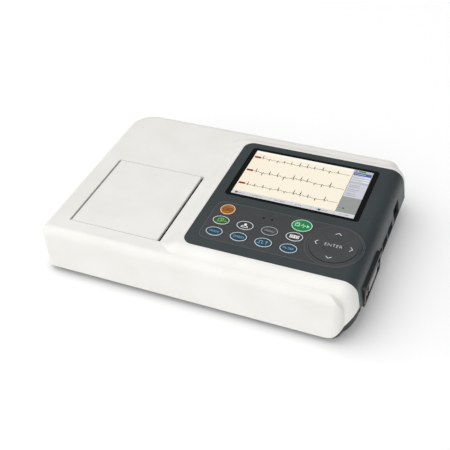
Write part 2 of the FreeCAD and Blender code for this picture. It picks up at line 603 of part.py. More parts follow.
def board_posts():
    """Screw posts between the panel and the keypad board, clear of the keys."""
    left, right = OVERLAY_LEFT + 2.6, NAV_X + OVERLAY_R - 4
    near, far = OVERLAY_Y - OVERLAY_R + 3.0, OVERLAY_Y + OVERLAY_R - 3.0
    middle = KEY_X0 + 1.5 * KEY_PITCH[0]
    return [(left, near), (middle, near), (left, far), (middle, far),
            (NAV_X + 19.5, near + 1), (NAV_X + 19.5, far - 1)]


def control_panel():
    shell = OUTSIDE.cut(INSIDE).common(panel_block(0))
    length, depth, thickness = WINDOW
    play = WINDOW_PLAY
    pocket = rounded_box(WINDOW_X - length / 2 - play, WINDOW_X + length / 2 + play,
                         WINDOW_Y - depth / 2 - play, WINDOW_Y + depth / 2 + play,
                         POD_TOP - thickness, POD_TOP + 1, WINDOW_CORNER_R)
    a, b = ACTIVE_AREA[0] / 2 + 1.5, ACTIVE_AREA[1] / 2 + 1.5
    cuts = [pocket, box(WINDOW_X - a, WINDOW_X + a, WINDOW_Y - b, WINDOW_Y + b, PANEL_UNDER - 1, POD_TOP)]
    cuts.append(overlay_outline(WINDOW_PLAY, POD_TOP - OVERLAY_THICKNESS, POD_TOP + 1))
    cuts += key_openings(PANEL_UNDER - 1, POD_TOP + 1)
    cuts.append(upright(NAV_X, NAV_Y, ARROW_R[1] + FLANGE + KEY_GAP, PANEL_UNDER - 5, PANEL_UNDER))
    for _, y, w, h in socket_places():
        cuts.append(box(RIGHT - 8, RIGHT + 1, y - w / 2 - SOCKET_PLAY, y + w / 2 + SOCKET_PLAY,
                        MAIN_BOARD_TOP - SOCKET_PLAY, MAIN_BOARD_TOP + h + SOCKET_PLAY))
    cuts.append(outward(ROUND_Y, ROUND_Z, ROUND_SOCKET_R + SOCKET_PLAY, RIGHT - 8, RIGHT + 1))
    w, h = LEAD_FLANGE
    cuts.append(box(RIGHT - 8, RIGHT + 1, LEAD_Y - w / 2 - SOCKET_PLAY, LEAD_Y + w / 2 + SOCKET_PLAY,
                    LEAD_Z - h / 2 - SOCKET_PLAY, LEAD_Z + h / 2 + SOCKET_PLAY))
    posts = [upright(x, y, 2.2, KEY_BOARD_TOP, PANEL_UNDER + 0.2) for x, y in board_posts()]
    shell = fuse([shell] + posts)
    for cut in cuts:
        shell = shell.cut(cut)
    for x, y in board_posts():
        shell = shell.cut(upright(x, y, COVER_SCREW_R, KEY_BOARD_TOP - 1, PANEL_UNDER - 0.4))
    return shell


def screen_window():
    length, depth, thickness = WINDOW
    return rounded_box(WINDOW_X - length / 2, WINDOW_X + length / 2, WINDOW_Y - depth / 2, WINDOW_Y + depth / 2,
                       POD_TOP - thickness, POD_TOP, WINDOW_CORNER_R - WINDOW_PLAY)


def display_module():
    length, depth, height = LCD
    top = PANEL_UNDER - LCD_GAP
    case = box(WINDOW_X - length / 2, WINDOW_X + length / 2, WINDOW_Y - depth / 2, WINDOW_Y + depth / 2,
               top - height, top)
    a, b = ACTIVE_AREA[0] / 2 + 1, ACTIVE_AREA[1] / 2 + 1
    raised = box(WINDOW_X - a, WINDOW_X + a, WINDOW_Y - b, WINDOW_Y + b, top - 1, POD_TOP - WINDOW[2] - 0.1)
    return fuse([case, raised])


def display_bracket():
    length, depth, height = LCD
    top = PANEL_UNDER - LCD_GAP - height
    plate = box(WINDOW_X - length / 2, WINDOW_X + length / 2, WINDOW_Y - depth / 2, WINDOW_Y + depth / 2,
                top - BRACKET_THICKNESS, top)
    for x in (-1, 0, 1):
        plate = plate.cut(rounded_box(WINDOW_X + x * 38 - 15, WINDOW_X + x * 38 + 15, WINDOW_Y - 25,
                                      WINDOW_Y + 25, top - 3, top + 1, 4))
    return plate


def keypad_overlay():
    film = overlay_outline(0, POD_TOP - OVERLAY_THICKNESS, POD_TOP).common(OUTSIDE)
    for cut in key_openings(POD_TOP - 2, POD_TOP + 1):
        film = film.cut(cut)
    return film


def keypad_board():
    low = KEY_BOARD_TOP - PCB
    board = box(OVERLAY_LEFT, NAV_X + OVERLAY_R - 1, OVERLAY_Y - OVERLAY_R, OVERLAY_Y + OVERLAY_R, low, KEY_BOARD_TOP)
    domes = [upright(x, y, 2.6, KEY_BOARD_TOP - 0.1, KEY_BOARD_TOP + DOME_HEIGHT)
             for x, y, _, _ in key_layout().values()]
    reach = sum(ARROW_R) / 2
    spots = [(reach * cos(radians(h)), reach * sin(radians(h))) for h in ARROWS.values()] + [(0, 0)]
    domes += [upright(NAV_X + dx, NAV_Y + dy, 2.6, KEY_BOARD_TOP - 0.1, KEY_BOARD_TOP + DOME_HEIGHT)
              for dx, dy in spots]
    board = fuse([board] + domes)
    for x, y in board_posts():
        board = board.cut(upright(x, y, COVER_SCREW_R + SCREW_HOLE_PLAY, low - 1, KEY_BOARD_TOP + 1))
    return board


def status_lights():
    pipes = [upright(x, y, LIGHT_R, KEY_BOARD_TOP, POD_TOP) for x, y in light_places()]
    return Part.makeCompound(pipes)


# ---- Paper door and platen ---------------------------------------------------------------------------
SHAFT_FRONT = DOOR_FRONT + ARM_MARGIN
ROLLER_FRONT = SHAFT_FRONT + ARM + SIDE_PLAY
ROLLER_BACK = ROLLER_FRONT + PAPER_WIDTH
BACK_ARM = ROLLER_BACK + SIDE_PLAY
PLATEN_GEAR_Y = BACK_ARM + ARM + SIDE_PLAY


def paper_door():
    low = DECK - DOOR_THICKNESS
    plate = box(HINGE_X, DOOR_RIGHT, DOOR_FRONT, DOOR_BACK, low, DECK)
    free = [e for e in plate.Edges if e.BoundBox.XMin > DOOR_RIGHT - 0.01 and e.BoundBox.ZMin > DECK - 0.01]
    plate = plate.makeFillet(0.8, free)
    parts = [plate, across(HINGE_X, HINGE_Z, BARREL_R, DOOR_FRONT, DOOR_BACK)]
    for y in (SHAFT_FRONT, BACK_ARM):
        arm = box(PLATEN_X - BUSH_R - 1.2, PLATEN_X + BUSH_R + 1.2, y, y + ARM, PLATEN_Z, low + 0.1)
        parts += [arm, across(PLATEN_X, PLATEN_Z, BUSH_R + 1.2, y, y + ARM)]
    for x in (DOOR_RIGHT - 17, DOOR_RIGHT - 23):
        parts.append(box(x, x + 1.2, DOOR_FRONT + 6, DOOR_BACK - 8, low - 4, low + 0.1))
    door = fuse(parts).cut(across(HINGE_X, HINGE_Z, HINGE_PIN_R + PIN_CLEARANCE, DOOR_FRONT - 1, DOOR_BACK + 1))
    return door.cut(across(PLATEN_X, PLATEN_Z, BUSH_R, SHAFT_FRONT - 1, BACK_ARM + ARM + 1))


def platen_bushes():
    ring = lambda y: across(PLATEN_X, PLATEN_Z, BUSH_R, y, y + ARM).cut(
        across(PLATEN_X, PLATEN_Z, PLATEN_SHAFT_R + PIN_CLEARANCE, y - 1, y + ARM + 1))
    return Part.makeCompound([ring(SHAFT_FRONT), ring(BACK_ARM)])


def platen_roller():
    rubber = across(PLATEN_X, PLATEN_Z, PLATEN_R, ROLLER_FRONT, ROLLER_BACK)
    return rubber.cut(across(PLATEN_X, PLATEN_Z, PLATEN_SHAFT_R, ROLLER_FRONT - 1, ROLLER_BACK + 1))


def platen_shaft():
    return across(PLATEN_X, PLATEN_Z, PLATEN_SHAFT_R, SHAFT_FRONT, PLATEN_GEAR_Y + GEAR_WIDTH)


def hinge_pin():
    return across(HINGE_X, HINGE_Z, HINGE_PIN_R, OPENING[2] - PIN_GRIP, OPENING[3] + PIN_GRIP)


# ---- Printer -----------------------------------------------------------------------------------------
def leaned(dx, dz):
    """Point of the print head, given along and across its face, after the head leans back."""
    t = radians(HEAD_LEAN)
    return HEAD_FACE + dx * cos(t) + dz * sin(t), PLATEN_Z - dx * sin(t) + dz * cos(t)


DOWN, IDLER, PINION = gear_places()
HEAD_FACE = PLATEN_X + PLATEN_R + PAPER_PATH
HEAD_PIVOT = leaned(HEAD_THICKNESS + HEAD_PIVOT_BACK, -HEAD_PIVOT_DROP)
CHASSIS_FRONT, CHASSIS_BACK = OPENING[2] - SHEET - 1.4, OPENING[3] + 0.6
CHASSIS_LEFT, CHASSIS_RIGHT = PLATEN_X - 7.0, PLATEN_X + 19.0
CHASSIS_LOW, CHASSIS_TOP = FLOOR + 2.0, DECK - WALL - 2.5
MOTOR_Y = CHASSIS_BACK + SHEET
IDLER_PHASE = DOWN + 180 + 180 / IDLER_TEETH


def printer_chassis():
    x0, x1, y0, y1 = CHASSIS_LEFT, CHASSIS_RIGHT, CHASSIS_FRONT, CHASSIS_BACK + SHEET
    low, top = CHASSIS_LOW, CHASSIS_TOP
    frame = fuse([box(x0, x1, y0, y1, low, low + SHEET), box(x0, x1, y0, y0 + SHEET, low, top),
                  box(x0, x1, y1 - SHEET, y1, low, top), box(x1 - SHEET, x1, y0, y1, low, top)])
    frame = frame.cut(across(*PINION, MOTOR_SHAFT_R + 1.4, CHASSIS_BACK - 1, y1 + 1))
    frame = frame.cut(across(*IDLER, STUD_R, CHASSIS_BACK - 1, y1 + 1))
    return frame.cut(across(*HEAD_PIVOT, STUD_R, y0 - 1, y1 + 1))


def print_head():
    """Ceramic heater strip on a finned aluminium block with a knuckle for the pivot rod."""
    y0, y1 = ROLLER_FRONT + SIDE_PLAY, ROLLER_BACK - SIDE_PLAY
    top = PLATEN_Z + HEAD_HEIGHT / 4
    back = HEAD_FACE + HEAD_THICKNESS
    pivot = (back + HEAD_PIVOT_BACK, PLATEN_Z - HEAD_PIVOT_DROP)
    parts = [box(HEAD_FACE + HEATER[1], back, y0, y1, top - HEAD_HEIGHT, top),
             box(HEAD_FACE, back, y0, y1, top - HEATER[0], top), across(*pivot, STUD_R + 1.6, y0, y1)]
    count = int((y1 - y0 - 12) / 6)
    parts += [box(back - 0.1, back + 1.5, y0 + 6 + 6 * k, y0 + 7.5 + 6 * k, PLATEN_Z - 9, top - 2)
              for k in range(count)]
    head = fuse(parts).cut(across(*pivot, STUD_R + PIN_CLEARANCE, y0 - 1, y1 + 1))
    head.rotate(V(HEAD_FACE, 0, PLATEN_Z), V(0, 1, 0), HEAD_LEAN)
    return head


def chassis_pins():
    """Rod that the print head hangs on, and the idler gear's stud."""
    return Part.makeCompound([across(*HEAD_PIVOT, STUD_R, CHASSIS_FRONT, CHASSIS_BACK + SHEET),
                              across(*IDLER, STUD_R, PLATEN_GEAR_Y - 0.5, CHASSIS_BACK + SHEET)])


def head_spring():
    """Flat spring on the chassis's right wall, bent towards the back of the print head."""
    wall = CHASSIS_RIGHT - SHEET
    blade = [(wall, CHASSIS_LOW + 4), (wall, CHASSIS_TOP - 7.4), (wall - 3.0, CHASSIS_TOP - 3.9),
             (wall - 3.4, CHASSIS_TOP - 4.4), (wall - 0.6, CHASSIS_TOP - 7.7), (wall - 0.6, CHASSIS_LOW + 4)]
    middle = (ROLLER_FRONT + ROLLER_BACK) / 2
    edges = [line(a, b) for a, b in zip(blade, blade[1:] + blade[:1])]
    return along_y(edges, middle - 15, middle + 15)


def platen_gear():
    return gear(PLATEN_X, PLATEN_Z, PLATEN_GEAR_Y, PLATEN_TEETH, PLATEN_SHAFT_R, DOWN)


def idler_gear():
    return gear(*IDLER, PLATEN_GEAR_Y, IDLER_TEETH, STUD_R + PIN_CLEARANCE, IDLER_PHASE)


def motor_pinion():
    return gear(*PINION, PLATEN_GEAR_Y, PINION_TEETH, MOTOR_SHAFT_R, DOWN + 180)


def motor_shaft():
    return across(*PINION, MOTOR_SHAFT_R, PLATEN_GEAR_Y, MOTOR_Y + MOTOR_LENGTH * 0.8)


def feed_motor():
    can = across(*PINION, MOTOR_R, MOTOR_Y, MOTOR_Y + MOTOR_LENGTH)
    can = can.makeFillet(0.8, [e for e in can.Edges if e.BoundBox.YMin > MOTOR_Y + MOTOR_LENGTH - 0.01
                               and e.BoundBox.YLength < 0.01])
    return can.cut(across(*PINION, MOTOR_SHAFT_R + PIN_CLEARANCE, MOTOR_Y - 1, MOTOR_Y + MOTOR_LENGTH * 0.85))


# ---- Paper -------------------------------------------------------------------------------------------
TRAY_TOP = DECK - 2 * BARREL_R - 1.5
TRAY_RIGHT = CHASSIS_LEFT - 1.0


def paper_tray():
    w = TRAY_WALL
    x0, x1, y0, y1 = OPENING[0] - w, TRAY_RIGHT, OPENING[2] - w, OPENING[3] + w
    tray = box(x0, x1, y0, y1, TRAY_FLOOR, TRAY_TOP)
    tray = tray.cut(box(x0 + w, x1 - w, y0 + w, y1 - w, TRAY_FLOOR + w, TRAY_TOP + 1))
    tray = tray.cut(box(x1 - w - 1, x1 + 1, y0 + w, y1 - w, TRAY_LIP, TRAY_TOP + 1))
    r = SPINDLE_R + SPINDLE_CLEARANCE
    slot = across(ROLL_X, ROLL_Z, r, y0 - 1, y1 + 1)
    return tray.cut(slot).cut(box(ROLL_X - r, ROLL_X + r, y0 - 1, y1 + 1, ROLL_Z, TRAY_TOP + 1))


def paper_roll():
    y0 = DOOR_Y - PAPER_WIDTH / 2
    return across(ROLL_X, ROLL_Z, ROLL_R, y0, y0 + PAPER_WIDTH).cut(
        across(ROLL_X, ROLL_Z, CORE_R, y0 - 1, y0 + PAPER_WIDTH + 1))


def paper_core():
    y0 = DOOR_Y - PAPER_WIDTH / 2
    return across(ROLL_X, ROLL_Z, CORE_R, y0, y0 + PAPER_WIDTH).cut(
        across(ROLL_X, ROLL_Z, CORE_R - CORE_WALL, y0 - 1, y0 + PAPER_WIDTH + 1))


def paper_spindle():
    y0, y1 = OPENING[2] - TRAY_WALL * 0.8, OPENING[3] + TRAY_WALL * 0.8
    hub = CORE_R - CORE_WALL
    start = DOOR_Y - PAPER_WIDTH / 2
    return fuse([across(ROLL_X, ROLL_Z, SPINDLE_R, y0, y1),
                 across(ROLL_X, ROLL_Z, hub, start + 2, start + 6),
                 across(ROLL_X, ROLL_Z, hub, start + PAPER_WIDTH - 6, start + PAPER_WIDTH - 2)])


# ---- Boards and power --------------------------------------------------------------------------------
def board(x0, x1, y0, y1, top, blocks):
    """Circuit board with its larger components, each given as x, y, length, width and height."""
    parts = [box(x0, x1, y0, y1, top - PCB, top)]
    parts += [box(x - a / 2, x + a / 2, y - b / 2, y + b / 2, top - 0.1, top + h) for x, y, a, b, h in blocks]
    return fuse(parts)


def main_board():
    x0, x1, y0, y1 = MAIN
    cx, cy = x0 + 45, y0 + 45
    chips = [(cx, cy, 20, 20, 1.6), (cx + 26, cy + 4, 12, 12, 1.2), (cx + 26, cy - 12, 12, 9, 1.2),
             (cx - 28, cy + 12, 10, 16, 3.0), (cx - 20, cy - 26, 30, 5, 4.5), (x0 + 20, y1 - 12, 18, 7, 6.0),
             (cx + 4, y1 - 14, 14, 14, 2.4)]
    return board(x0, x1, y0, y1, MAIN_BOARD_TOP, chips)


def lead_board():
    x0, x1, y0, y1 = LEAD_BOARD
    return board(x0, x1, y0, y1, LEAD_BOARD_TOP, [(x0 + 6, y0 + 20, 7, 22, 4.0)])


def lead_board_shield():
    """Folded tin cover over the input amplifiers."""
    x0, y0, y1 = LEAD_BOARD[0] + 12, LEAD_BOARD[2] + 4, LEAD_BOARD[3] - 4
    x1, top = LEAD_BOARD[1] - 16, LEAD_BOARD_TOP + 3.6
    return box(x0, x1, y0, y1, LEAD_BOARD_TOP, top).cut(
        box(x0 + 0.4, x1 - 0.4, y0 + 0.4, y1 - 0.4, LEAD_BOARD_TOP - 1, top - 0.4))


def power_board():
    x0, x1, y0, y1 = POWER_BOARD
    blocks = [(x0 + 28, y0 + 21, 24, 22, 20.0), (x0 + 12, y0 + 12, 10, 14, 16.0), (x0 + 50, y0 + 30, 3, 24, 18.0),
              (x0 + 62, y0 + 16, 12, 12, 12.0), (x0 + 12, y1 - 9, 16, 10, 10.0)]
    parts = board(x0, x1, y0, y1, POWER_BOARD_TOP, blocks)
    cans = [upright(x0 + 62, y1 - 10, 5.0, POWER_BOARD_TOP - 0.1, POWER_BOARD_TOP + 18),
            upright(x1 - 6, y0 + 10, 4.0, POWER_BOARD_TOP - 0.1, POWER_BOARD_TOP + 14)]
    return fuse([parts] + cans)


def battery_pack():
    length, width, height = BATTERY
    low = BASE + COVER_THICKNESS + COVER_PLAY
    return rounded_box(BATTERY_X, BATTERY_X + length, BATTERY_Y, BATTERY_Y + width, low, low + height, 3.0)


def battery_cover():
    lip = COVER_LIP - COVER_PLAY
    cover = box(BAY[0] - lip, BAY[1] + lip, BAY[2] - lip, BAY[3] + lip, BASE, BASE + COVER_THICKNESS)
    for x, y in cover_screw_places():
        cover = cover.cut(upright(x, y, COVER_SCREW_R + SCREW_HOLE_PLAY, BASE - 1, BASE + COVER_THICKNESS + 1))
        cover = cover.cut(upright(x, y, COVER_SCREW_R * 2, BASE - 1, BASE + COVER_SCREW_SINK))
    return cover


def small_screws():
    """Screws of the battery cover and of the keypad board."""
    screws = [screw(x, y, BASE + COVER_SCREW_SINK, 6.0, COVER_SCREW_R) for x, y in cover_screw_places()]
    screws += [screw(x, y, KEY_BOARD_TOP - PCB, PCB + 3.0, COVER_SCREW_R) for x, y in board_posts()]
    return Part.makeCompound(screws)


def speaker():
    magnet = upright(SPEAKER_X, SPEAKER_Y, SPEAKER_R * 0.6, FLOOR + 2, FLOOR + SPEAKER_HEIGHT)
    rim = upright(SPEAKER_X, SPEAKER_Y, SPEAKER_R, FLOOR + 0.2, FLOOR + 2.4)
    return fuse([rim, magnet]).cut(upright(SPEAKER_X, SPEAKER_Y, SPEAKER_R - 2, FLOOR, FLOOR + 1.2))


# ---- Sockets ------------------------------------------------------------------------------------------
def socket_shell(y, width, height, depth, mouth_w, mouth_h, mouth_low, mouth_depth):
    """Metal socket on the main board with a rectangular mouth in its right face."""
    shell = box(SOCKET_FACE - depth, SOCKET_FACE, y - width / 2, y + width / 2,
                MAIN_BOARD_TOP, MAIN_BOARD_TOP + height)
    low = MAIN_BOARD_TOP + mouth_low
    return shell.cut(box(SOCKET_FACE - mouth_depth, SOCKET_FACE + 1, y - mouth_w / 2, y + mouth_w / 2,
                         low, low + mouth_h))


def data_sockets():
    """Network socket with its latch notch, and two USB sockets with their tongues."""
    _, y, w, h = socket_places()[0]
    shell = socket_shell(y, w, h, NETWORK_SOCKET[2], 11.8, 8.2, 2.2, 12.0)
    shells = [shell.cut(box(SOCKET_FACE - 12, SOCKET_FACE + 1, y - 3.1, y + 3.1,
                            MAIN_BOARD_TOP + 10.3, MAIN_BOARD_TOP + 12.0))]
    for _, y, w, h in socket_places()[1:]:
        shell = socket_shell(y, w, h, USB_SOCKET[2], 12.6, 5.2, 0.9, 11.0)
        tongue = box(SOCKET_FACE - 11.5, SOCKET_FACE - 1.0, y - 5.6, y + 5.6,
                     MAIN_BOARD_TOP + 4.1, MAIN_BOARD_TOP + 5.9)
        shells.append(shell.fuse(tongue).removeSplitter())
    return Part.makeCompound(shells)


def round_socket():
    body = box(SOCKET_FACE - 13, SOCKET_FACE - 1.5, ROUND_Y - 4, ROUND_Y + 4, MAIN_BOARD_TOP, ROUND_Z + 4)
    body = body.fuse(outward(ROUND_Y, ROUND_Z, ROUND_SOCKET_R, SOCKET_FACE - 2, SOCKET_FACE)).removeSplitter()
    return body.cut(outward(ROUND_Y, ROUND_Z, 1.8, SOCKET_FACE - 12, SOCKET_FACE + 1))


def lead_frame():
    """Raised black surround of the patient connector, seated on the leaning right face."""
    w, h = LEAD_FRAME
    x1 = RIGHT + CONNECTOR_STANDOFF
    ring = box(RIGHT - 6, x1, LEAD_Y - w / 2, LEAD_Y + w / 2, LEAD_Z - h / 2, LEAD_Z + h / 2)
    face = [e for e in ring.Edges if e.BoundBox.YLength < 0.01 and e.BoundBox.ZLength < 0.01]
    ring = ring.makeFillet(3.0, face)
    rim = [e for e in ring.Edges if e.BoundBox.XMin > x1 - 0.01]
    ring = ring.makeFillet(0.8, rim)
    w, h = LEAD_MOUTH
    ring = ring.cut(box(RIGHT - 7, x1 + 1, LEAD_Y - w / 2, LEAD_Y + w / 2, LEAD_Z - h / 2, LEAD_Z + h / 2))
    return ring.cut(OUTSIDE)


def d_outline(width, height, x0, x1):
    """D-shaped shell, a little narrower along its lower side."""
    a, b, lean = width / 2, height / 2, height * tan(radians(10)) / 2
    points = [V(x0, LEAD_Y - a + lean, LEAD_Z - b), V(x0, LEAD_Y + a - lean, LEAD_Z - b),
              V(x0, LEAD_Y + a, LEAD_Z + b), V(x0, LEAD_Y - a, LEAD_Z + b)]
    solid = Part.Face(Part.makePolygon(points + points[:1])).extrude(V(x1 - x0, 0, 0))
    long_edges = [e for e in solid.Edges if e.BoundBox.YLength < 0.01 and e.BoundBox.ZLength < 0.01]
    return solid.makeFillet(2.2, long_edges)


FLANGE_FACE = RIGHT - LEAD_FLANGE_SINK


def patient_connector():
    """Fifteen-way socket: steel flange and D shell round a contact block, and its body on the board."""
    w, h = LEAD_FLANGE
    flange = box(FLANGE_FACE - 1.0, FLANGE_FACE, LEAD_Y - w / 2, LEAD_Y + w / 2, LEAD_Z - h / 2, LEAD_Z + h / 2)
    body = box(FLANGE_FACE - LEAD_BODY, FLANGE_FACE - 0.9, LEAD_Y - w / 2 + 4, LEAD_Y + w / 2 - 4,
               LEAD_BOARD_TOP, LEAD_Z + h / 2)
    solid = fuse([flange, body, d_outline(*LEAD_SHELL, FLANGE_FACE - 0.5, FLANGE_FACE + 5.0)])
    for count, dz in ((8, 1.42), (7, -1.42)):
        for k in range(count):
            y = LEAD_Y + (k - (count - 1) / 2) * 2.77
            solid = solid.cut(outward(y, LEAD_Z + dz, 0.55, FLANGE_FACE - 1, FLANGE_FACE + 6))
    for side in (-1, 1):
        solid = solid.cut(outward(LEAD_Y + side * JACK_SPACING / 2, LEAD_Z, 1.5, FLANGE_FACE - 2, FLANGE_FACE + 1))
    return solid


def jack_posts():
    posts = []
    for side in (-1, 1):
        y = LEAD_Y + side * JACK_SPACING / 2
        hexagon = Part.makePolygon([V(FLANGE_FACE, y + JACK_R * cos(k * pi / 3), LEAD_Z + JACK_R * sin(k * pi / 3))
                                    for k in range(7)])
        post = Part.Face(hexagon).extrude(V(JACK_LENGTH, 0, 0))
        post = post.fuse(outward(y, LEAD_Z, 1.45, FLANGE_FACE - 1.0, FLANGE_FACE + 0.1)).removeSplitter()
        posts.append(post.cut(outward(y, LEAD_Z, JACK_HOLE_R, FLANGE_FACE - 0.5, FLANGE_FACE + JACK_LENGTH + 1)))
    return Part.makeCompound(posts)


def mains_inlet():
    w, h, d = INLET
    face = BACK - INLET_SINK
    body = box(INLET_X - w / 2, INLET_X + w / 2, face - d, face, INLET_Z - h / 2, INLET_Z + h / 2)
    fw, fh, fd = INLET_FLANGE
    flange = box(INLET_X - fw / 2, INLET_X + fw / 2, face - fd + INLET_SINK, face,
                 INLET_Z - fh / 2, INLET_Z + fh / 2)
    mw, mh, md = INLET_MOUTH
    mouth = box(INLET_X - mw / 2, INLET_X + mw / 2, face - md, face + 1, INLET_Z - mh / 2, INLET_Z + mh / 2)
    corners = [e for e in mouth.Edges if e.BoundBox.XLength < 0.01 and e.BoundBox.ZLength < 0.01
               and e.BoundBox.ZMin > INLET_Z]
    return fuse([body, flange]).cut(mouth.makeFillet(4.0, corners))


def inlet_pins():
    face = BACK - INLET_SINK
    deep = INLET_MOUTH[2]
    pin = lambda x, z: box(x - 1, x + 1, face - deep, face - 2.5, z - 2, z + 2)
    return Part.makeCompound([pin(INLET_X - 7, INLET_Z - 2), pin(INLET_X + 7, INLET_Z - 2), pin(INLET_X, INLET_Z + 2)])


def bonding_pin():
    """Equipotential pin in its cup, with the groove that its plug snaps into."""
    foot = BACK - BONDING_CUP[1]
    pin = across(BONDING_X, INLET_Z, BONDING_R, foot, foot + BONDING_LENGTH)
    groove = across(BONDING_X, INLET_Z, BONDING_R + 1, foot + 5.6, foot + 7.0).cut(
        across(BONDING_X, INLET_Z, BONDING_R - 0.6, foot + 5, foot + 8))
    shank = across(BONDING_X, INLET_Z, 1.95, foot - 4, foot + 0.1)
    return fuse([pin.cut(groove), shank])


# ---- Feet and screws -----------------------------------------------------------------------------------
def rubber_feet():
    feet = []
    for x, y in foot_places():
        foot = upright(x, y, FOOT_R - 0.1, 0, BASE + FOOT_SEAT)
        feet.append(foot.makeFillet(0.8, level_edges(foot, 0)))
    return Part.makeCompound(feet)


def housing_screws():
    seat = POST_TOP - POST_WEB
    return Part.makeCompound([screw(x, y, seat, POST_WEB + 11.0, SCREW_R) for x, y in screw_places()])


def save(name, shape):
    os.makedirs("parts", exist_ok=True)
    shape.exportStep("parts/%s.step" % name)


MODEL = {
    "upper_housing": upper_housing, "lower_housing": lower_housing, "control_panel": control_panel,
    "screen_window": screen_window, "display_module": display_module, "display_bracket": display_bracket,
    "keypad_overlay": keypad_overlay, "keypad_board": keypad_board, "small_screws": small_screws,
    "status_lights": status_lights, "paper_door": paper_door, "hinge_pin": hinge_pin,
    "platen_bushes": platen_bushes, "platen_roller": platen_roller, "platen_shaft": platen_shaft,
    "platen_gear": platen_gear, "idler_gear": idler_gear, "chassis_pins": chassis_pins,
    "motor_pinion": motor_pinion, "motor_shaft": motor_shaft, "feed_motor": feed_motor,
    "printer_chassis": printer_chassis, "print_head": print_head,
    "head_spring": head_spring, "paper_tray": paper_tray, "paper_roll": paper_roll,
    "paper_core": paper_core, "paper_spindle": paper_spindle, "main_board": main_board,
    "lead_board": lead_board, "lead_board_shield": lead_board_shield, "power_board": power_board,
    "battery_pack": battery_pack, "battery_cover": battery_cover,
    "speaker": speaker, "data_sockets": data_sockets,
    "round_socket": round_socket, "lead_frame": lead_frame, "patient_connector": patient_connector,
    "jack_posts": jack_posts, "mains_inlet": mains_inlet, "inlet_pins": inlet_pins,
    "bonding_pin": bonding_pin, "rubber_feet": rubber_feet, "housing_screws": housing_screws,
}

for node, make in MODEL.items():
    save(node, make())
for node, place in key_layout().items():
    save(node, push_key(*place))
for node, heading in ARROWS.items():
    save(node, arrow_key(heading))
save("enter_key", push_key(NAV_X, NAV_Y, ENTER_R, ENTER_R, ARROW_R[0] + FLANGE - KEY_GAP - ENTER_R))
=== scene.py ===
import json
import math
import random

import bmesh
import bpy
from bpy.props import FloatProperty, FloatVectorProperty, IntProperty, PointerProperty
from mathutils import Matrix, Vector


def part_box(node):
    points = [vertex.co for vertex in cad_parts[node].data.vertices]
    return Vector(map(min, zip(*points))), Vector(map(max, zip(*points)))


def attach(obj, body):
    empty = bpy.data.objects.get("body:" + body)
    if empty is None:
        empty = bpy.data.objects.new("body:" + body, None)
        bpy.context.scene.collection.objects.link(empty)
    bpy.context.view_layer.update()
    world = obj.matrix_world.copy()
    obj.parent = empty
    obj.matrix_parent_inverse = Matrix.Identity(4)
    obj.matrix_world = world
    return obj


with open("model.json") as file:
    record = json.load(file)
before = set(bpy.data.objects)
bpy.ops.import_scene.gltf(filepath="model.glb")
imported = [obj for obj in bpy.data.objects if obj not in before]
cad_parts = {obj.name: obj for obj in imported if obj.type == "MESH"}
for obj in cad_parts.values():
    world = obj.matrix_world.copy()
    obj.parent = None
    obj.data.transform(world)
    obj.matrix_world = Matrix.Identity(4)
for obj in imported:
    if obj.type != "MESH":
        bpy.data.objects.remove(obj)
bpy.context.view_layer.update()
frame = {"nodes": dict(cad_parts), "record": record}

bl_info = {
    "name": "Portable ECG recorder looks",
    "version": (1, 0, 0),
    "blender": (4, 5, 0),
    "location": "3D View > Sidebar > ECG",
    "description": "Finishes, display picture, key legends and stage for a portable ECG recorder",
    "category": "Object",
}

NODES = frame["nodes"]
MM = 0.001
FIXED = "recorder"                      # the body that every piece which doesn't move rides on


# ---- Colours and materials ----------------------------------------------------------------------

def linear(code):
    """An sRGB hex colour as linear red, green, blue and alpha."""
    parts = [int(code[k:k + 2], 16) / 255 for k in (0, 2, 4)]
    return tuple(c / 12.92 if c <= 0.04045 else ((c + 0.055) / 1.055) ** 2.4 for c in parts) + (1.0,)


def add(tree, kind, inputs=None, **settings):
    """A node of that kind, its settings made and each input linked to a socket or given a value."""
    made = tree.nodes.new(kind)
    for name, value in settings.items():
        setattr(made, name, value)
    for name, value in (inputs or {}).items():
        if isinstance(value, bpy.types.NodeSocket):
            tree.links.new(value, made.inputs[name])
        else:
            made.inputs[name].default_value = value
    return made


def maths(tree, operation, *values):
    """The result of one sum on numbers or sockets."""
    return add(tree, "ShaderNodeMath", dict(enumerate(values)), operation=operation).outputs[0]


def new_finish(name, colour, roughness, **sockets):
    """A material with one shader, and its plain values on the shader's own sockets."""
    material = bpy.data.materials.new(name)
    material.use_nodes = True
    shader = material.node_tree.nodes["Principled BSDF"]
    shader.inputs["Base Color"].default_value = linear(colour)
    shader.inputs["Roughness"].default_value = roughness
    for socket, value in sockets.items():
        shader.inputs[socket.replace("_", " ")].default_value = value
    return material, material.node_tree, shader


def place(tree, stretch=(1, 1, 1)):
    """The surface's own place, stretched where a pattern has a direction."""
    coords = add(tree, "ShaderNodeTexCoord")
    return add(tree, "ShaderNodeMapping", {"Vector": coords.outputs["Object"], "Scale": stretch}).outputs[0]


def speckle(tree, size, stretch, detail):
    return add(tree, "ShaderNodeTexNoise", {"Vector": place(tree, stretch), "Scale": 1 / (size * MM),
                                            "Detail": detail})


def mottle(tree, shader, low, high, size, stretch=(1, 1, 1)):
    """Slow drift between two near colours, patches of that many millimetres."""
    noise = speckle(tree, size, stretch, 3.0)
    ramp = add(tree, "ShaderNodeValToRGB", {"Fac": noise.outputs["Fac"]})
    ramp.color_ramp.elements[0].position, ramp.color_ramp.elements[1].position = 0.35, 0.65
    ramp.color_ramp.elements[0].color, ramp.color_ramp.elements[1].color = linear(low), linear(high)
    tree.links.new(ramp.outputs["Color"], shader.inputs["Base Color"])
    return ramp.outputs["Color"]


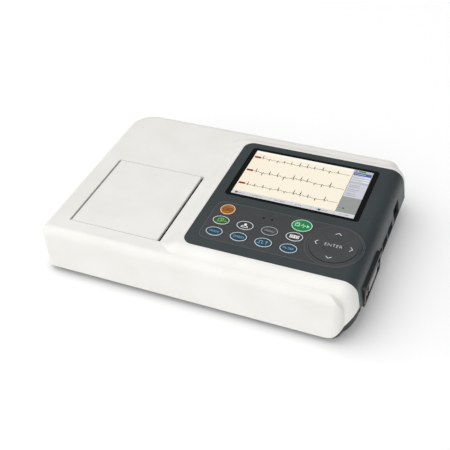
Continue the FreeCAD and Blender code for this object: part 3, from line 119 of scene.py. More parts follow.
def grain(tree, shader, size, depth, stretch=(1, 1, 1), rough=None):
    """Moulded or rolled texture: bumps that many millimetres across and deep, and the gloss they break."""
    noise = speckle(tree, size, stretch, 2.0)
    bump = add(tree, "ShaderNodeBump", {"Height": noise.outputs["Fac"], "Strength": 0.6,
                                        "Distance": depth * MM})
    tree.links.new(bump.outputs["Normal"], shader.inputs["Normal"])
    if rough:
        spread = add(tree, "ShaderNodeMapRange", {"Value": noise.outputs["Fac"], "From Min": 0.3,
                                                  "From Max": 0.7, "To Min": rough[0], "To Max": rough[1]})
        tree.links.new(spread.outputs["Result"], shader.inputs["Roughness"])


def moulded(name, low, high, roughness, size=1.1, depth=0.012, patch=35.0):
    """Injection-moulded plastic: nearly even colour over a fine spark-eroded texture.

    The texture is drawn about three times coarser than the mould's, so that it still shows.
    """
    material, tree, shader = new_finish(name, low, roughness, IOR=1.53)
    mottle(tree, shader, low, high, patch)
    grain(tree, shader, size, depth, rough=(roughness - 0.04, roughness + 0.05))
    return material


def printed(name, low, high, roughness=0.34):
    """Screen-printed polyester or a printed key cap: flat ink under a satin hard coat."""
    material, tree, shader = new_finish(name, low, roughness, IOR=1.57)
    shader.inputs["Coat Weight"].default_value = 0.12
    shader.inputs["Coat Roughness"].default_value = 0.3
    mottle(tree, shader, low, high, 9.0)
    grain(tree, shader, 0.45, 0.004, rough=(roughness - 0.03, roughness + 0.05))
    return material


def steel(name, low, high, roughness, stretch=(1, 1, 1), size=0.8):
    """Plated sheet or turned steel: metal with drawn marks along one direction."""
    material, tree, shader = new_finish(name, low, roughness, Metallic=1.0)
    mottle(tree, shader, low, high, 4.0, stretch)
    grain(tree, shader, size, 0.006, stretch, rough=(roughness - 0.06, roughness + 0.12))
    return material


def lit(name, colour, glow):
    """A patch of the lit picture: the colour shines and the hard-coated glass over it gives the gloss."""
    material, _, shader = new_finish(name, "0A0A0A", 0.16, IOR=1.49)
    shader.inputs["Emission Color"].default_value = linear(colour)
    shader.inputs["Emission Strength"].default_value = glow
    return material


def chart_paper_glow(name, glow, left, right):
    """Lit chart background: cream, turning faintly pink towards its left edge."""
    material = lit(name, "FBF1DF", glow)
    tree = material.node_tree
    split = add(tree, "ShaderNodeSeparateXYZ", {"Vector": place(tree)})
    across = add(tree, "ShaderNodeMapRange", {"Value": split.outputs["X"], "From Min": left,
                                              "From Max": right})
    ramp = add(tree, "ShaderNodeValToRGB", {"Fac": across.outputs["Result"]})
    ramp.color_ramp.elements[0].color = linear("FAEDDA")
    ramp.color_ramp.elements[1].color = linear("FAF3E1")
    ramp.color_ramp.elements[1].position = 0.22
    tree.links.new(ramp.outputs["Color"], tree.nodes["Principled BSDF"].inputs["Emission Color"])
    return material


def recording_paper(name, roll):
    """Thermal chart paper: smooth coated white with a pink rule every 5 mm each way round the roll."""
    material, tree, shader = new_finish(name, "F3F1EC", 0.5, IOR=1.45)
    low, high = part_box(roll)
    radius = (high.z - low.z) / 2
    middle = (low + high) / 2
    split = add(tree, "ShaderNodeSeparateXYZ", {"Vector": place(tree)})
    dx = maths(tree, "SUBTRACT", split.outputs["X"], middle.x)
    dz = maths(tree, "SUBTRACT", split.outputs["Z"], middle.z)
    angle = maths(tree, "ARCTAN2", dz, dx)
    square, line_share = 5 * MM, 0.07
    turns = max(round(math.tau * radius / square), 1) / math.tau
    lines = [maths(tree, "LESS_THAN", maths(tree, "FRACT", maths(tree, "MULTIPLY", source, rate)), line_share)
             for source, rate in ((angle, turns), (split.outputs["Y"], 1 / square))]
    ink = add(tree, "ShaderNodeMix", {"Factor": maths(tree, "MAXIMUM", *lines), "A": linear("F3F1EC"),
                                      "B": linear("E7A79B")}, data_type="RGBA")
    tree.links.new(ink.outputs["Result"], shader.inputs["Base Color"])
    grain(tree, shader, 0.5, 0.006)
    return material


def dress(material, *names):
    """Gives CAD nodes their finish."""
    for name in names:
        for holder in NODES[name].material_slots:
            holder.material = material


# ---- Making pieces -------------------------------------------------------------------------------

def settle(piece, body):
    """A finished piece rides on its body."""
    if not piece.data.polygons:
        raise RuntimeError(piece.name + " came out with no faces")
    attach(piece, body)
    return piece


def mesh_piece(name, mesh):
    mesh.name = name
    piece = bpy.data.objects.new(name, mesh)
    bpy.context.scene.collection.objects.link(piece)
    return piece


def raised_print(name, sheet, mesh, thickness, material, body):
    """Gives a flat sheet of faces its thickness and settles it as a piece."""
    raised = bmesh.ops.extrude_face_region(sheet, geom=sheet.faces[:])["geom"]
    upper = [v for v in raised if isinstance(v, bmesh.types.BMVert)]
    bmesh.ops.translate(sheet, vec=(0, 0, thickness), verts=upper)
    bmesh.ops.recalc_face_normals(sheet, faces=sheet.faces)
    sheet.to_mesh(mesh)
    sheet.free()
    mesh.materials.append(material)
    return settle(mesh_piece(name, mesh), body)


def print_layer(name, shapes, bottom, thickness, material, body, moved=(0.0, 0.0)):
    """Flat printed shapes, loops of (x, y) in millimetres round a point, given their real thickness."""
    sheet = bmesh.new()
    for loop in shapes:
        sheet.faces.new([sheet.verts.new((moved[0] + x * MM, moved[1] + y * MM, bottom)) for x, y in loop])
    bmesh.ops.remove_doubles(sheet, verts=sheet.verts, dist=1e-7)
    return raised_print(name, sheet, bpy.data.meshes.new(name), thickness, material, body)


def rect(x0, y0, x1, y1):
    return [(x0, y0), (x1, y0), (x1, y1), (x0, y1)]


def oval_path(x, y, a, b, count=72):
    turns = [k * math.tau / count for k in range(count)]
    return [(x + a * math.cos(t), y + b * math.sin(t)) for t in turns]


def disc(x, y, r, sides=28):
    return oval_path(x, y, r, r, sides)


def stroke(points, width, closed=False):
    """A drawn line of that width through the points, as joined four-cornered patches."""
    count = len(points)
    sides = []
    for k, here in enumerate(points):
        before = points[k - 1] if closed or k else None
        after = points[(k + 1) % count] if closed or k < count - 1 else None
        steps = [Vector(b) - Vector(a) for a, b in ((before, here), (here, after)) if a and b]
        normals = [Vector((-s.y, s.x)).normalized() for s in steps]
        mitre = sum(normals, Vector((0, 0))).normalized()
        reach = width / 2 / max(mitre.dot(normals[0]), 0.45)
        sides.append((Vector(here) + mitre * reach, Vector(here) - mitre * reach))
    pairs = zip(sides, sides[1:] + sides[:1]) if closed else zip(sides, sides[1:])
    return [[tuple(a[1]), tuple(b[1]), tuple(b[0]), tuple(a[0])] for a, b in pairs]


def ring(x, y, a, b, width, sides=72, start=0.0, end=math.tau):
    """An elliptical line, whole or in part."""
    whole = abs(end - start - math.tau) < 1e-6
    steps = sides if whole else sides + 1
    turns = [start + (end - start) * k / sides for k in range(steps)]
    points = [(x + a * math.cos(t), y + b * math.sin(t)) for t in turns]
    return stroke(points, width, whole)


def lettering(name, words, width, bottom, thickness, at, material, body, weight=0.0):
    """A generic word, fitted to that width and centred on the point."""
    curve = bpy.data.curves.new(name, "FONT")
    curve.body, curve.align_x, curve.align_y = words, "CENTER", "CENTER"
    curve.size, curve.offset, curve.resolution_u = 1.0, weight, 3
    holder = bpy.data.objects.new(name, curve)
    bpy.context.scene.collection.objects.link(holder)
    bpy.context.view_layer.update()
    mesh = bpy.data.meshes.new_from_object(holder.evaluated_get(bpy.context.evaluated_depsgraph_get()))
    bpy.data.objects.remove(holder)
    xs, ys = [v.co.x for v in mesh.vertices], [v.co.y for v in mesh.vertices]
    scale = width / (max(xs) - min(xs))
    middle = ((max(xs) + min(xs)) / 2, (max(ys) + min(ys)) / 2)
    sheet = bmesh.new()
    sheet.from_mesh(mesh)
    bmesh.ops.remove_doubles(sheet, verts=sheet.verts, dist=1e-5)
    for v in sheet.verts:
        v.co = ((v.co.x - middle[0]) * scale + at[0], (v.co.y - middle[1]) * scale + at[1], bottom)
    mesh.clear_geometry()
    mesh.materials.clear()
    return raised_print(name, sheet, mesh, thickness, material, body)


# ---- Geometry Nodes ------------------------------------------------------------------------------

def new_tree(name, inputs):
    """A geometry tree with named inputs; returns it with its group input and output nodes."""
    tree = bpy.data.node_groups.new(name, "GeometryNodeTree")
    tree.interface.new_socket("Geometry", in_out="INPUT", socket_type="NodeSocketGeometry")
    for label, kind in inputs:
        tree.interface.new_socket(label, in_out="INPUT", socket_type="NodeSocket" + kind)
    tree.interface.new_socket("Geometry", in_out="OUTPUT", socket_type="NodeSocketGeometry")
    return tree, add(tree, "NodeGroupInput"), add(tree, "NodeGroupOutput")


def end_tree(tree, out, geometry, material):
    real = add(tree, "GeometryNodeRealizeInstances", {"Geometry": geometry})
    done = add(tree, "GeometryNodeSetMaterial", {"Geometry": real.outputs[0], "Material": material})
    tree.links.new(done.outputs[0], out.inputs[0])


def grown(name, data, tree, values):
    """The plain mesh that a tree makes on that curve or mesh with those input values."""
    holder = bpy.data.objects.new(name + "_source", data)
    bpy.context.scene.collection.objects.link(holder)
    modifier = holder.modifiers.new(name, "NODES")
    modifier.node_group = tree
    sockets = {s.name: s.identifier for s in tree.interface.items_tree if s.in_out == "INPUT"}
    for label, value in values.items():
        modifier[sockets[label]] = value
    bpy.context.view_layer.update()
    result = holder.evaluated_get(bpy.context.evaluated_depsgraph_get())
    mesh = bpy.data.meshes.new_from_object(result)
    bpy.data.objects.remove(holder)
    return mesh


def outline_tree():
    """A flat band of that width and thickness along a path, used for printed lines and for painted
    highlights.
    """
    tree, given, out = new_tree("printed_and_highlight_band", (("Width", "Float"), ("Thickness", "Float"),
                                                    ("Ink", "Material")))
    band = add(tree, "GeometryNodeCurvePrimitiveQuadrilateral",
               {"Width": given.outputs["Width"], "Height": given.outputs["Thickness"]})
    swept = add(tree, "GeometryNodeCurveToMesh",
                {"Curve": given.outputs["Geometry"], "Profile Curve": band.outputs["Curve"],
                 "Fill Caps": True})
    flat = add(tree, "GeometryNodeSetShadeSmooth", {"Geometry": swept.outputs[0], "Shade Smooth": False})
    end_tree(tree, out, flat.outputs[0], given.outputs["Ink"])
    return tree


def ruled_tree():
    """Chart rules: thin bars side by side, repeated along X and then along Y."""
    floats = ("Length", "Height", "Pitch", "Line", "Thickness")
    tree, given, out = new_tree("chart_rules", [(label, "Float") for label in floats] + [("Ink", "Material")])
    made = []
    for along, reach in (("Length", "Height"), ("Height", "Length")):
        step, other = ("X", "Y") if along == "Length" else ("Y", "X")
        pitch = given.outputs["Pitch"]
        whole = maths(tree, "FLOOR", maths(tree, "DIVIDE", given.outputs[along], pitch))
        gap = add(tree, "ShaderNodeCombineXYZ", {step: pitch})
        half = maths(tree, "MULTIPLY", given.outputs[reach], 0.5)
        first = add(tree, "ShaderNodeCombineXYZ", {step: pitch, other: half})
        row = add(tree, "GeometryNodeMeshLine", {"Count": whole, "Start Location": first.outputs[0],
                                                 "Offset": gap.outputs[0]})
        sizes = {step: given.outputs["Line"], other: given.outputs[reach],
                 "Z": given.outputs["Thickness"]}
        bar = add(tree, "GeometryNodeMeshCube", {"Size": add(tree, "ShaderNodeCombineXYZ", sizes).outputs[0]})
        made.append(add(tree, "GeometryNodeInstanceOnPoints",
                        {"Points": row.outputs[0], "Instance": bar.outputs[0]}).outputs[0])
    both = add(tree, "GeometryNodeJoinGeometry")
    for part in made:
        tree.links.new(part, both.inputs[0])
    end_tree(tree, out, both.outputs[0], given.outputs["Ink"])
    return tree


def contact_tree():
    """A row of equal contacts: short bars or sleeves, each of that size, the pitch apart."""
    tree, given, out = new_tree("contact_row", (("Size", "Vector"), ("Pitch", "Float"), ("Count", "Int"),
                                                ("First", "Vector"), ("Metal", "Material")))
    step = add(tree, "ShaderNodeCombineXYZ", {"Y": given.outputs["Pitch"]})
    row = add(tree, "GeometryNodeMeshLine", {"Count": given.outputs["Count"], "Offset": step.outputs[0],
                                             "Start Location": given.outputs["First"]})
    bar = add(tree, "GeometryNodeMeshCube", {"Size": given.outputs["Size"]})
    each = add(tree, "GeometryNodeInstanceOnPoints", {"Points": row.outputs[0], "Instance": bar.outputs[0]})
    end_tree(tree, out, each.outputs[0], given.outputs["Metal"])
    return tree


def painted_recess_shade_tree():
    """Painted shade for the cross recesses on screw heads: a flat dark cross where each point stands."""
    tree, given, out = new_tree("painted_recess_shade", (("Span", "Float"), ("Slot", "Float"), ("Depth", "Float"),
                                                   ("Metal", "Material")))
    arms = add(tree, "GeometryNodeJoinGeometry")
    for labels in (("Span", "Slot", "Depth"), ("Slot", "Span", "Depth")):
        spans = add(tree, "ShaderNodeCombineXYZ",
                    {axis: given.outputs[label] for axis, label in zip("XYZ", labels)})
        bar = add(tree, "GeometryNodeMeshCube", {"Size": spans.outputs[0]})
        tree.links.new(bar.outputs[0], arms.inputs[0])
    each = add(tree, "GeometryNodeInstanceOnPoints",
               {"Points": given.outputs["Geometry"], "Instance": arms.outputs[0]})
    end_tree(tree, out, each.outputs[0], given.outputs["Metal"])
    return tree


def closed_path(name, points, height):
    """A closed curve through points given in metres, at one height."""
    curve = bpy.data.curves.new(name, "CURVE")
    curve.dimensions = "3D"
    spline = curve.splines.new("POLY")
    spline.points.add(len(points) - 1)
    for point, (x, y) in zip(spline.points, points):
        point.co = (x, y, height, 1.0)
    spline.use_cyclic_u = True
    return curve


def outlined(name, points, height, width, thickness, ink, body, tree):
    """A band along a closed path, as one piece, used for printed lines and for painted highlights."""
    mesh = grown(name, closed_path(name, points, height), tree,
                 {"Width": width, "Thickness": thickness, "Ink": ink})
    return settle(mesh_piece(name, mesh), body)


# ---- Sizes and colours a user would change --------------------------------------------------------

def colour_property(name, description, code):
    return FloatVectorProperty(name=name, description=description, subtype="COLOR", size=4,
                               min=0.0, max=1.0, default=linear(code))


def length_property(name, description, millimetres):
    return FloatProperty(name=name, description=description, default=millimetres * MM, min=0.0, unit="LENGTH")


class EcgScreenSizes(bpy.types.PropertyGroup):
    lit_length: length_property("Lit length", "Length of the display's lit area", 108.0)
    lit_depth: length_property("Lit depth", "Depth of the display's lit area", 64.8)
    rule_pitch: length_property("Rule pitch", "Distance between the chart's fine rules", 1.2)
    trace_width: length_property("Trace width", "Width of the traces", 0.4)
    glow: FloatProperty(name="Glow", description="Brightness of the lit picture", default=1.0,
                        min=0.0, max=5.0)
    seed: IntProperty(name="Seed", description="Seed of the traces' and marks' small differences", default=7)


class EcgKeySizes(bpy.types.PropertyGroup):
    outline_width: length_property("Outline width", "Width of the printed line round a key", 0.58)
    outline_inset: length_property("Outline inset", "From a cap's edge to the middle of its line", 0.28)
    # painted light: the key's line wraps down over the cap's rounded edge and covers the shade that edge
    # would show
    painted_rim_light_depth: length_property("Outline depth", "How far a key's line wraps down over its edge", 0.36)
    ink_thickness: length_property("Ink thickness", "Height of printed ink above the cap", 0.04)
    pad_ring: length_property("Pad ring", "Radius of the printed pad's outer edge", 19.5)
    pad_gap: length_property("Pad gap", "Between the films on neighbouring arrow keys", 0.1)


class EcgPanelSizes(bpy.types.PropertyGroup):
    radius: length_property("Overlay radius", "Radius of the overlay's round end", 24.9)
    corner: length_property("Overlay corner", "Radius of the overlay's left corners", 8.0)
    # line and its colour make a painted highlight: a pale band just inside the overlay's edge, where that
    # edge catches the light
    line: length_property("Line width", "Width of the overlay's printed lines", 0.45)
    edge_highlight_colour: colour_property("Line colour", "Colour of the overlay's printed lines", "545D5F")


class EcgStageSizes(bpy.types.PropertyGroup):
    floor: length_property("Floor", "Side of the floor", 9000.0)
    camera: FloatVectorProperty(name="Camera", description="Camera's place", subtype="TRANSLATION",
                                default=(0.22975, -0.5050, 0.4838))
    azimuth: FloatProperty(name="Azimuth", description="Camera's turn round the object",
                           default=math.radians(25.21), unit="ROTATION")
    elevation: FloatProperty(name="Elevation", description="Camera's height above the horizon",
                             default=math.radians(40.38), unit="ROTATION")
    roll: FloatProperty(name="Roll", description="Camera's tilt to one side",
                        default=math.radians(-3.99), unit="ROTATION")
    lens: FloatProperty(name="Lens", description="Focal length on a 36 mm sensor", default=65.25,
                        unit="CAMERA")
    sky: FloatProperty(name="Room light", description="Strength of the light from the ceiling and front",
                       default=1.12)
    lamp: FloatProperty(name="Soft box", description="Power of the large soft light, in watts", default=6.5)


# ---- Operators -----------------------------------------------------------------------------------

class EcgStage(bpy.types.Operator):
    """Camera, pale floor and soft studio light"""
    bl_idname = "ecg.stage"
    bl_label = "Stage"

    def execute(self, context):
        sizes = context.scene.ecg_stage
        scene = context.scene
        a, e, r = sizes.azimuth, sizes.elevation, sizes.roll
        back = Vector((math.sin(a) * math.cos(e), -math.cos(a) * math.cos(e), math.sin(e)))
        right = (-back).cross(Vector((0, 0, 1))).normalized()
        up = right.cross(-back)
        turned_right = right * math.cos(r) + up * math.sin(r)
        turned_up = -right * math.sin(r) + up * math.cos(r)
        lens = bpy.data.cameras.new("studio_camera")
        lens.lens, lens.sensor_width, lens.clip_start = sizes.lens, 36.0, 0.02
        camera = bpy.data.objects.new("studio_camera", lens)
        scene.collection.objects.link(camera)
        turn = Matrix((turned_right, turned_up, back)).transposed().to_4x4()
        camera.matrix_world = Matrix.Translation(sizes.camera) @ turn
        scene.camera = camera

        half = sizes.floor / 2
        mesh = bpy.data.meshes.new("floor")
        mesh.from_pydata([(x, y, 0) for x, y in rect(-half, -half, half, half)], [], [(0, 1, 2, 3)])
        # matt painted studio floor: near-white, no gloss, very slightly uneven
        paint, tree, shader = new_finish("matt_studio_paint", "FCFCFC", 0.9)
        mottle(tree, shader, "FBFBFB", "FDFDFD", 700.0)
        mesh.materials.append(paint)
        floor = mesh_piece("floor", mesh)

        room = bpy.data.worlds.new("soft_room")
        room.use_nodes = True
        room.node_tree.nodes["Background"].inputs["Color"].default_value = linear("FFFFFF")
        self.shade_walls(room.node_tree, sizes.sky)
        scene.world = room
        for name, spot, watts, side in (("key_softbox", (-0.45, 0.1, 1.5), sizes.lamp, 1.6),
                                        ("fill_softbox", (0.2, -1.3, 0.9), sizes.lamp * 0.35, 1.4)):
            lamp = bpy.data.lights.new(name, "AREA")
            lamp.energy, lamp.size = watts, side
            light = bpy.data.objects.new(name, lamp)
            scene.collection.objects.link(light)
            light.location = spot
            light.rotation_euler = (-Vector(spot)).to_track_quat("-Z", "Y").to_euler()
        scene.view_settings.view_transform = "Standard"
        scene.view_settings.look = "None"
        return {"FINISHED"}

    def shade_walls(self, tree, sky):
        """Leaves the room's ceiling and front bright and its back and right-hand walls dim."""
        coords = add(tree, "ShaderNodeTexCoord")
        way = add(tree, "ShaderNodeSeparateXYZ", {"Vector": coords.outputs["Generated"]})
        dim = []
        for axis, near, far, high in (("Y", 0.15, 0.55, 0.9), ("X", 0.3, 0.75, 0.65)):
            spans = (way.outputs[axis], near, far), (way.outputs["Z"], high, high - 0.2)
            wall, under = [add(tree, "ShaderNodeMapRange", {"Value": value, "From Min": low, "From Max": top},
                               interpolation_type="SMOOTHSTEP").outputs[0] for value, low, top in spans]
            dim.append(maths(tree, "MULTIPLY", wall, under))
        shade, dimmest = maths(tree, "MAXIMUM", *dim), 0.12
        level = add(tree, "ShaderNodeMapRange", {"Value": shade, "To Min": sky, "To Max": sky * dimmest})
        tree.links.new(level.outputs["Result"], tree.nodes["Background"].inputs["Strength"])


class EcgHousing(bpy.types.Operator):
    """Moulded finishes of the housing halves, paper door and covers"""
    bl_idname = "ecg.housing"
    bl_label = "Housing"

    def execute(self, context):
        # moulded ABS, warm white: satin, faintly textured
        dress(moulded("moulded_abs_warm_white", "E3E2DD", "E8E7E3", 0.42), "upper_housing", "paper_door")
        # moulded ABS, charcoal: darker and a little rougher, because it is the underside
        dress(moulded("moulded_abs_charcoal", "24282A", "2A2E30", 0.5, 1.3, 0.02),
              "lower_housing", "battery_cover")
        # moulded rubber: dull black, dusty on top of its grain
        foot, tree, shader = new_finish("moulded_rubber_black", "161616", 0.82, IOR=1.52)
        mottle(tree, shader, "121212", "1E1E1D", 3.0)
        grain(tree, shader, 0.6, 0.03)
        dress(foot, "rubber_feet", "platen_roller")
        return {"FINISHED"}


class EcgPanel(bpy.types.Operator):
    """Slate panel, printed overlay, the painted highlight along the overlay's edge and the printed rings"""
    bl_idname = "ecg.panel"
    bl_label = "Panel"

    def execute(self, context):
        sizes = context.scene.ecg_panel
        # moulded ABS, slate: green-grey, satin, a fine even texture
        dress(moulded("moulded_abs_slate", "2B3234", "2F383A", 0.46, 1.0, 0.014), "control_panel")
        # screen-printed polyester film: warmer grey than the panel round it
        dress(printed("printed_polyester_grey", "333436", "363739", 0.42), "keypad_overlay")
        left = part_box("keypad_overlay")[0].x
        nav_x, nav_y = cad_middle("enter_key")
        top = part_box("screen_window")[1].z
        # painted highlight: a pale grey band just inside the overlay's edge stands in for the light that edge
        # catches
        line, _, _ = new_finish("painted_edge_highlight_grey", "FFFFFF", 0.4)
        line.node_tree.nodes["Principled BSDF"].inputs["Base Color"].default_value = sizes.edge_highlight_colour
        faint = printed("faint_grey_ink", "515558", "565A5C", 0.4)
        tree = outline_tree()
        inset, thick = 0.7 * MM, 0.04 * MM
        path = overlay_path(left + inset, nav_x, nav_y, sizes.radius - inset, sizes.corner - inset)
        lines = (("overlay_edge_highlight", path, sizes.line, line),
                 ("pad_outer_ring", oval_path(nav_x, nav_y, 23.0 * MM, 23.0 * MM, 120), 0.35 * MM, faint),
                 ("pad_inner_ring", oval_path(nav_x, nav_y, 20.4 * MM, 20.4 * MM, 120), 0.25 * MM, faint))
        for name, points, width, ink in lines:
            outlined(name, points, top + thick / 2, width, thick, ink, FIXED, tree)
        # clear acrylic light pipes over unlit diodes: dark, wet-looking
        pipe, tree, shader = new_finish("acrylic_light_pipe", "1B1C1B", 0.1, IOR=1.49)
        mottle(tree, shader, "171817", "232423", 1.2)
        dress(pipe, "status_lights")
        return {"FINISHED"}


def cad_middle(node):
    low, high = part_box(node)
    return (low.x + high.x) / 2, (low.y + high.y) / 2


def overlay_path(left, right_centre, middle, radius, corner):
    """Rounded rectangle on the left that ends in a half circle on the right."""
    points = [(right_centre + radius * math.sin(t), middle - radius * math.cos(t))
              for t in (math.pi * k / 60 for k in range(61))]
    for sign, first in ((1, math.pi / 2), (-1, math.pi)):
        centre = (left + corner, middle + sign * (radius - corner))
        points += [(centre[0] + corner * math.cos(first + t), centre[1] + corner * math.sin(first + t))
                   for t in (math.pi / 2 * k / 12 for k in range(13))]
    return points


# the bumps of one heartbeat: height, place after the beat and width, in mm
WAVES = ((0.35, -1.5, 0.4), (2.6, 0.0, 0.2), (-0.7, 0.45, 0.2), (0.6, 2.2, 0.6))


class EcgScreen(bpy.types.Operator):
    """Display glass and the lit chart behind it"""
    bl_idname = "ecg.screen"
    bl_label = "Screen"

    def execute(self, context):
        sizes = context.scene.ecg_screen
        draw = random.Random(sizes.seed)
        # hard-coated acrylic over black print: near-black mirror gloss, hairline unevenness
        glass, tree, shader = new_finish("coated_acrylic_black", "050606", 0.07, IOR=1.49)
        mottle(tree, shader, "050606", "0A0B0B", 20.0)
        dress(glass, "screen_window")
        dress(lit("unlit_display_case", "9A9A90", 0.05), "display_module")
        low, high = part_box("screen_window")
        length, depth = sizes.lit_length / MM, sizes.lit_depth / MM
        corner = ((low.x + high.x - sizes.lit_length) / 2, (low.y + high.y - sizes.lit_depth) / 2)
        side, bar = length * 0.843, depth * 0.072
        glow = sizes.glow
        layer = 0.02 * MM

        def patch(name, shapes, level, colour, material=None):
            shining = material or lit("lit_" + name, colour, glow)
            print_layer(name, shapes, high.z + level * layer, layer, shining, FIXED, corner)

        paper = chart_paper_glow("lit_chart_cream", glow, corner[0], corner[0] + side * MM)
        patch("chart_paper", [rect(0, bar, side, depth - 3.2)], 0, "", material=paper)
        patch("chart_head", [rect(0, depth - 3.2, side, depth)], 0, "FBF7F0")
        patch("status_bar", [rect(0, 0, length, bar)], 0, "D5D6DA")
        for name, pitch, line, code in (("fine_rules", sizes.rule_pitch, 0.1, "F5E8CC"),
                                        ("coarse_rules", sizes.rule_pitch * 5, 0.14, "EFD9B4")):
            self.rules(name, pitch, line, code, corner, side, bar, depth, high.z + layer * 1.05, glow)
        self.traces(sizes, draw, corner, side, depth, high.z + layer * 2.2, glow)
        self.side_panel(patch, draw, side, length, bar, depth)
        self.status(patch, draw, bar)
        return {"FINISHED"}

    def rules(self, name, pitch, line, code, corner, side, bar, depth, height, glow):
        tree = bpy.data.node_groups.get("chart_rules") or ruled_tree()
        room = depth - bar - 3.2
        mesh = grown(name, bpy.data.meshes.new(name), tree,
                     {"Length": side * MM, "Height": room * MM, "Pitch": pitch, "Line": line * MM,
                      "Thickness": 0.01 * MM, "Ink": lit("lit_" + name, code, glow)})
        mesh.transform(Matrix.Translation((corner[0], corner[1] + bar * MM, height)))
        settle(mesh_piece(name, mesh), FIXED)

    def traces(self, sizes, draw, corner, side, depth, height, glow):
        ink = lit("lit_trace_ink", "1E1B1A", glow)
        red = lit("lit_lead_label", "8A2A2C", glow)
        lines, labels = [], []
        for row, share in enumerate((0.845, 0.535, 0.235)):
            base = depth * share
            beats = [(9.0 + 6.9 * k + draw.uniform(-0.8, 0.8),
                      draw.choice((1.0, 1.0, -0.8)) * draw.uniform(1.2, 2.6)) for k in range(11)]
            points, x = [], 7.4
            while x < side - 1.2:
                near = 0.0
                for at, size in beats:
                    near += size * sum(tall * math.exp(-((x - at - late) / wide) ** 2)
                                       for tall, late, wide in WAVES)
                drift = 0.35 * math.sin(x / 9.0 + row * 1.7)
                points.append((x, base + near + drift + draw.uniform(-0.06, 0.06)))
                x += 0.16 if any(abs(x - at) < 0.9 for at, _ in beats) else 0.5
            lines += stroke(points, sizes.trace_width / MM)
            labels.append(rect(1.0, base - 0.7, 7.0, base + 1.7))
        print_layer("traces", lines, height, 0.01 * MM, ink, FIXED, corner)
        print_layer("lead_labels", labels, height, 0.012 * MM, red, FIXED, corner)

    def side_panel(self, patch, draw, side, length, bar, depth):
        patch("side_grey", [rect(side, bar, length, depth * 0.40)], 0, "989A98")
        patch("side_lilac", [rect(side, depth * 0.40, length, depth * 0.70)], 0, "CCCDD4")
        patch("side_rows", [rect(side, depth * 0.70, length, depth)], 0, "B9BCC3")
        patch("side_edge", [rect(side, bar, side + 0.4, depth)], 1, "8B8D90")
        patch("patient_band", [rect(side + 0.8, depth * 0.885, length - 0.6, depth * 0.945)], 1, "4B64A8")
        patch("alarm_dot", [disc(side + 2.2, depth * 0.972, 0.85)], 1, "A5502C")
        patch("battery_mark", [rect(side + 4.2, depth * 0.958, side + 10.6, depth * 0.988)], 1, "4E8F4C")
        patch("row_fields", [rect(side + 0.8, depth * v, length - 0.6, depth * (v + 0.028))
                             for v in (0.845, 0.795, 0.745)], 1, "E6E7EE")
        fields = [depth * v for v in (0.865, 0.815, 0.765)]
        notes = [depth * v for v in (0.655, 0.62, 0.565, 0.53, 0.475, 0.44)]
        marks = self.words(draw, side + 1.6, length - 2.0, fields, 0.7, 0.25)
        marks += self.words(draw, side + 2.0, length - 4.5, notes, 0.75, 0.3)
        patch("side_marks", marks, 2, "5A5C70")
        band = self.words(draw, side + 2.0, length - 3.0, [depth * 0.915], 0.8, 0.2)
        patch("band_marks", band, 2, "DDE3F5")
        patch("lead_on_mark", [rect(side + 2.0, depth * 0.15, side + 3.1, depth * 0.165)], 1, "5E9A3E")
        patch("lead_off_mark", [rect(side + 4.6, depth * 0.145, side + 6.0, depth * 0.17)], 1, "4A4A48")

    def status(self, patch, draw, bar):
        breaks = (17.0, 35.0, 53.5, 71.0, 90.8)
        patch("bar_breaks", [rect(x, 0.5, x + 0.25, bar - 0.5) for x in breaks], 1, "9A9CA2")
        words = []
        fields = ((3.2, 12.5), (19.0, 32.0), (38.5, 50.0), (57.0, 62.5), (75.5, 87.0), (95.0, 104.0))
        for start, reach in fields:
            words += self.words(draw, start, reach, [bar * 0.48], 1.1, 0.35)
        patch("bar_marks", words, 1, "6B6D74")
        icons = [rect(x0, bar * 0.25, x1, bar * 0.7) for x0, x1 in ((3.2, 5.2), (77.0, 79.2))]
        patch("bar_icons", icons, 2, "3E4046")

    def words(self, draw, left, right, heights, tall, gap):
        """Short dark dashes that read as lines of small print and spell nothing."""
        shapes = []
        for y in heights:
            x, end = left, right - draw.uniform(0.0, (right - left) * 0.35)
            while x < end:
                wide = draw.uniform(0.35, 0.8)
                shapes.append(rect(x, y - tall / 2, x + wide, y + tall / 2 * draw.uniform(0.2, 1.0)))
                x += wide + gap * draw.uniform(0.7, 1.9)
        return shapes


SMALL = (7.1, 5.2)                      # half length and half width of a small key's cap in mm
BLUE = (*SMALL, "1B3443", "1F3A4B", "C9D6DE", "74B4D2")
# each key: half length and half width of its cap in mm, cap colours, colour of the printed outline that also
# paints light over the cap's rounded edge, and legend colour
KEY_STYLES = {
    "power_key": (6.3, 6.3, "985B0D", "A06512", "EED2AE", "4E1C0A"),
    "print_key": (8.6, 7.2, "107A41", "148449", "C4EBD4", "B4EBCE"),
    "copy_key": (*SMALL, "234824", "28522A", "D5DDD8", "86CC78"),
    "patient_key": (*SMALL, "2C2F31", "323537", "D8DBDC", "F0F1F0"),
    "menu_key": (*SMALL, "37393B", "3C3E40", "A6ABAD", "9EA5A8"),
    "lead_key": (*SMALL, "292B2D", "2F3133", "DCDFE0", "F2F3F2"),
    "mode_key": BLUE, "speed_key": BLUE, "gain_key": BLUE, "filter_key": BLUE,
}
KEY_WORDS = {"menu_key": ("MENU", 8.2), "mode_key": ("MODE", 8.2), "speed_key": ("SPEED", 9.0),
             "filter_key": ("FILTER", 8.8)}
ARROWS = {"right_key": 0.0, "up_key": 90.0, "left_key": 180.0, "down_key": 270.0}


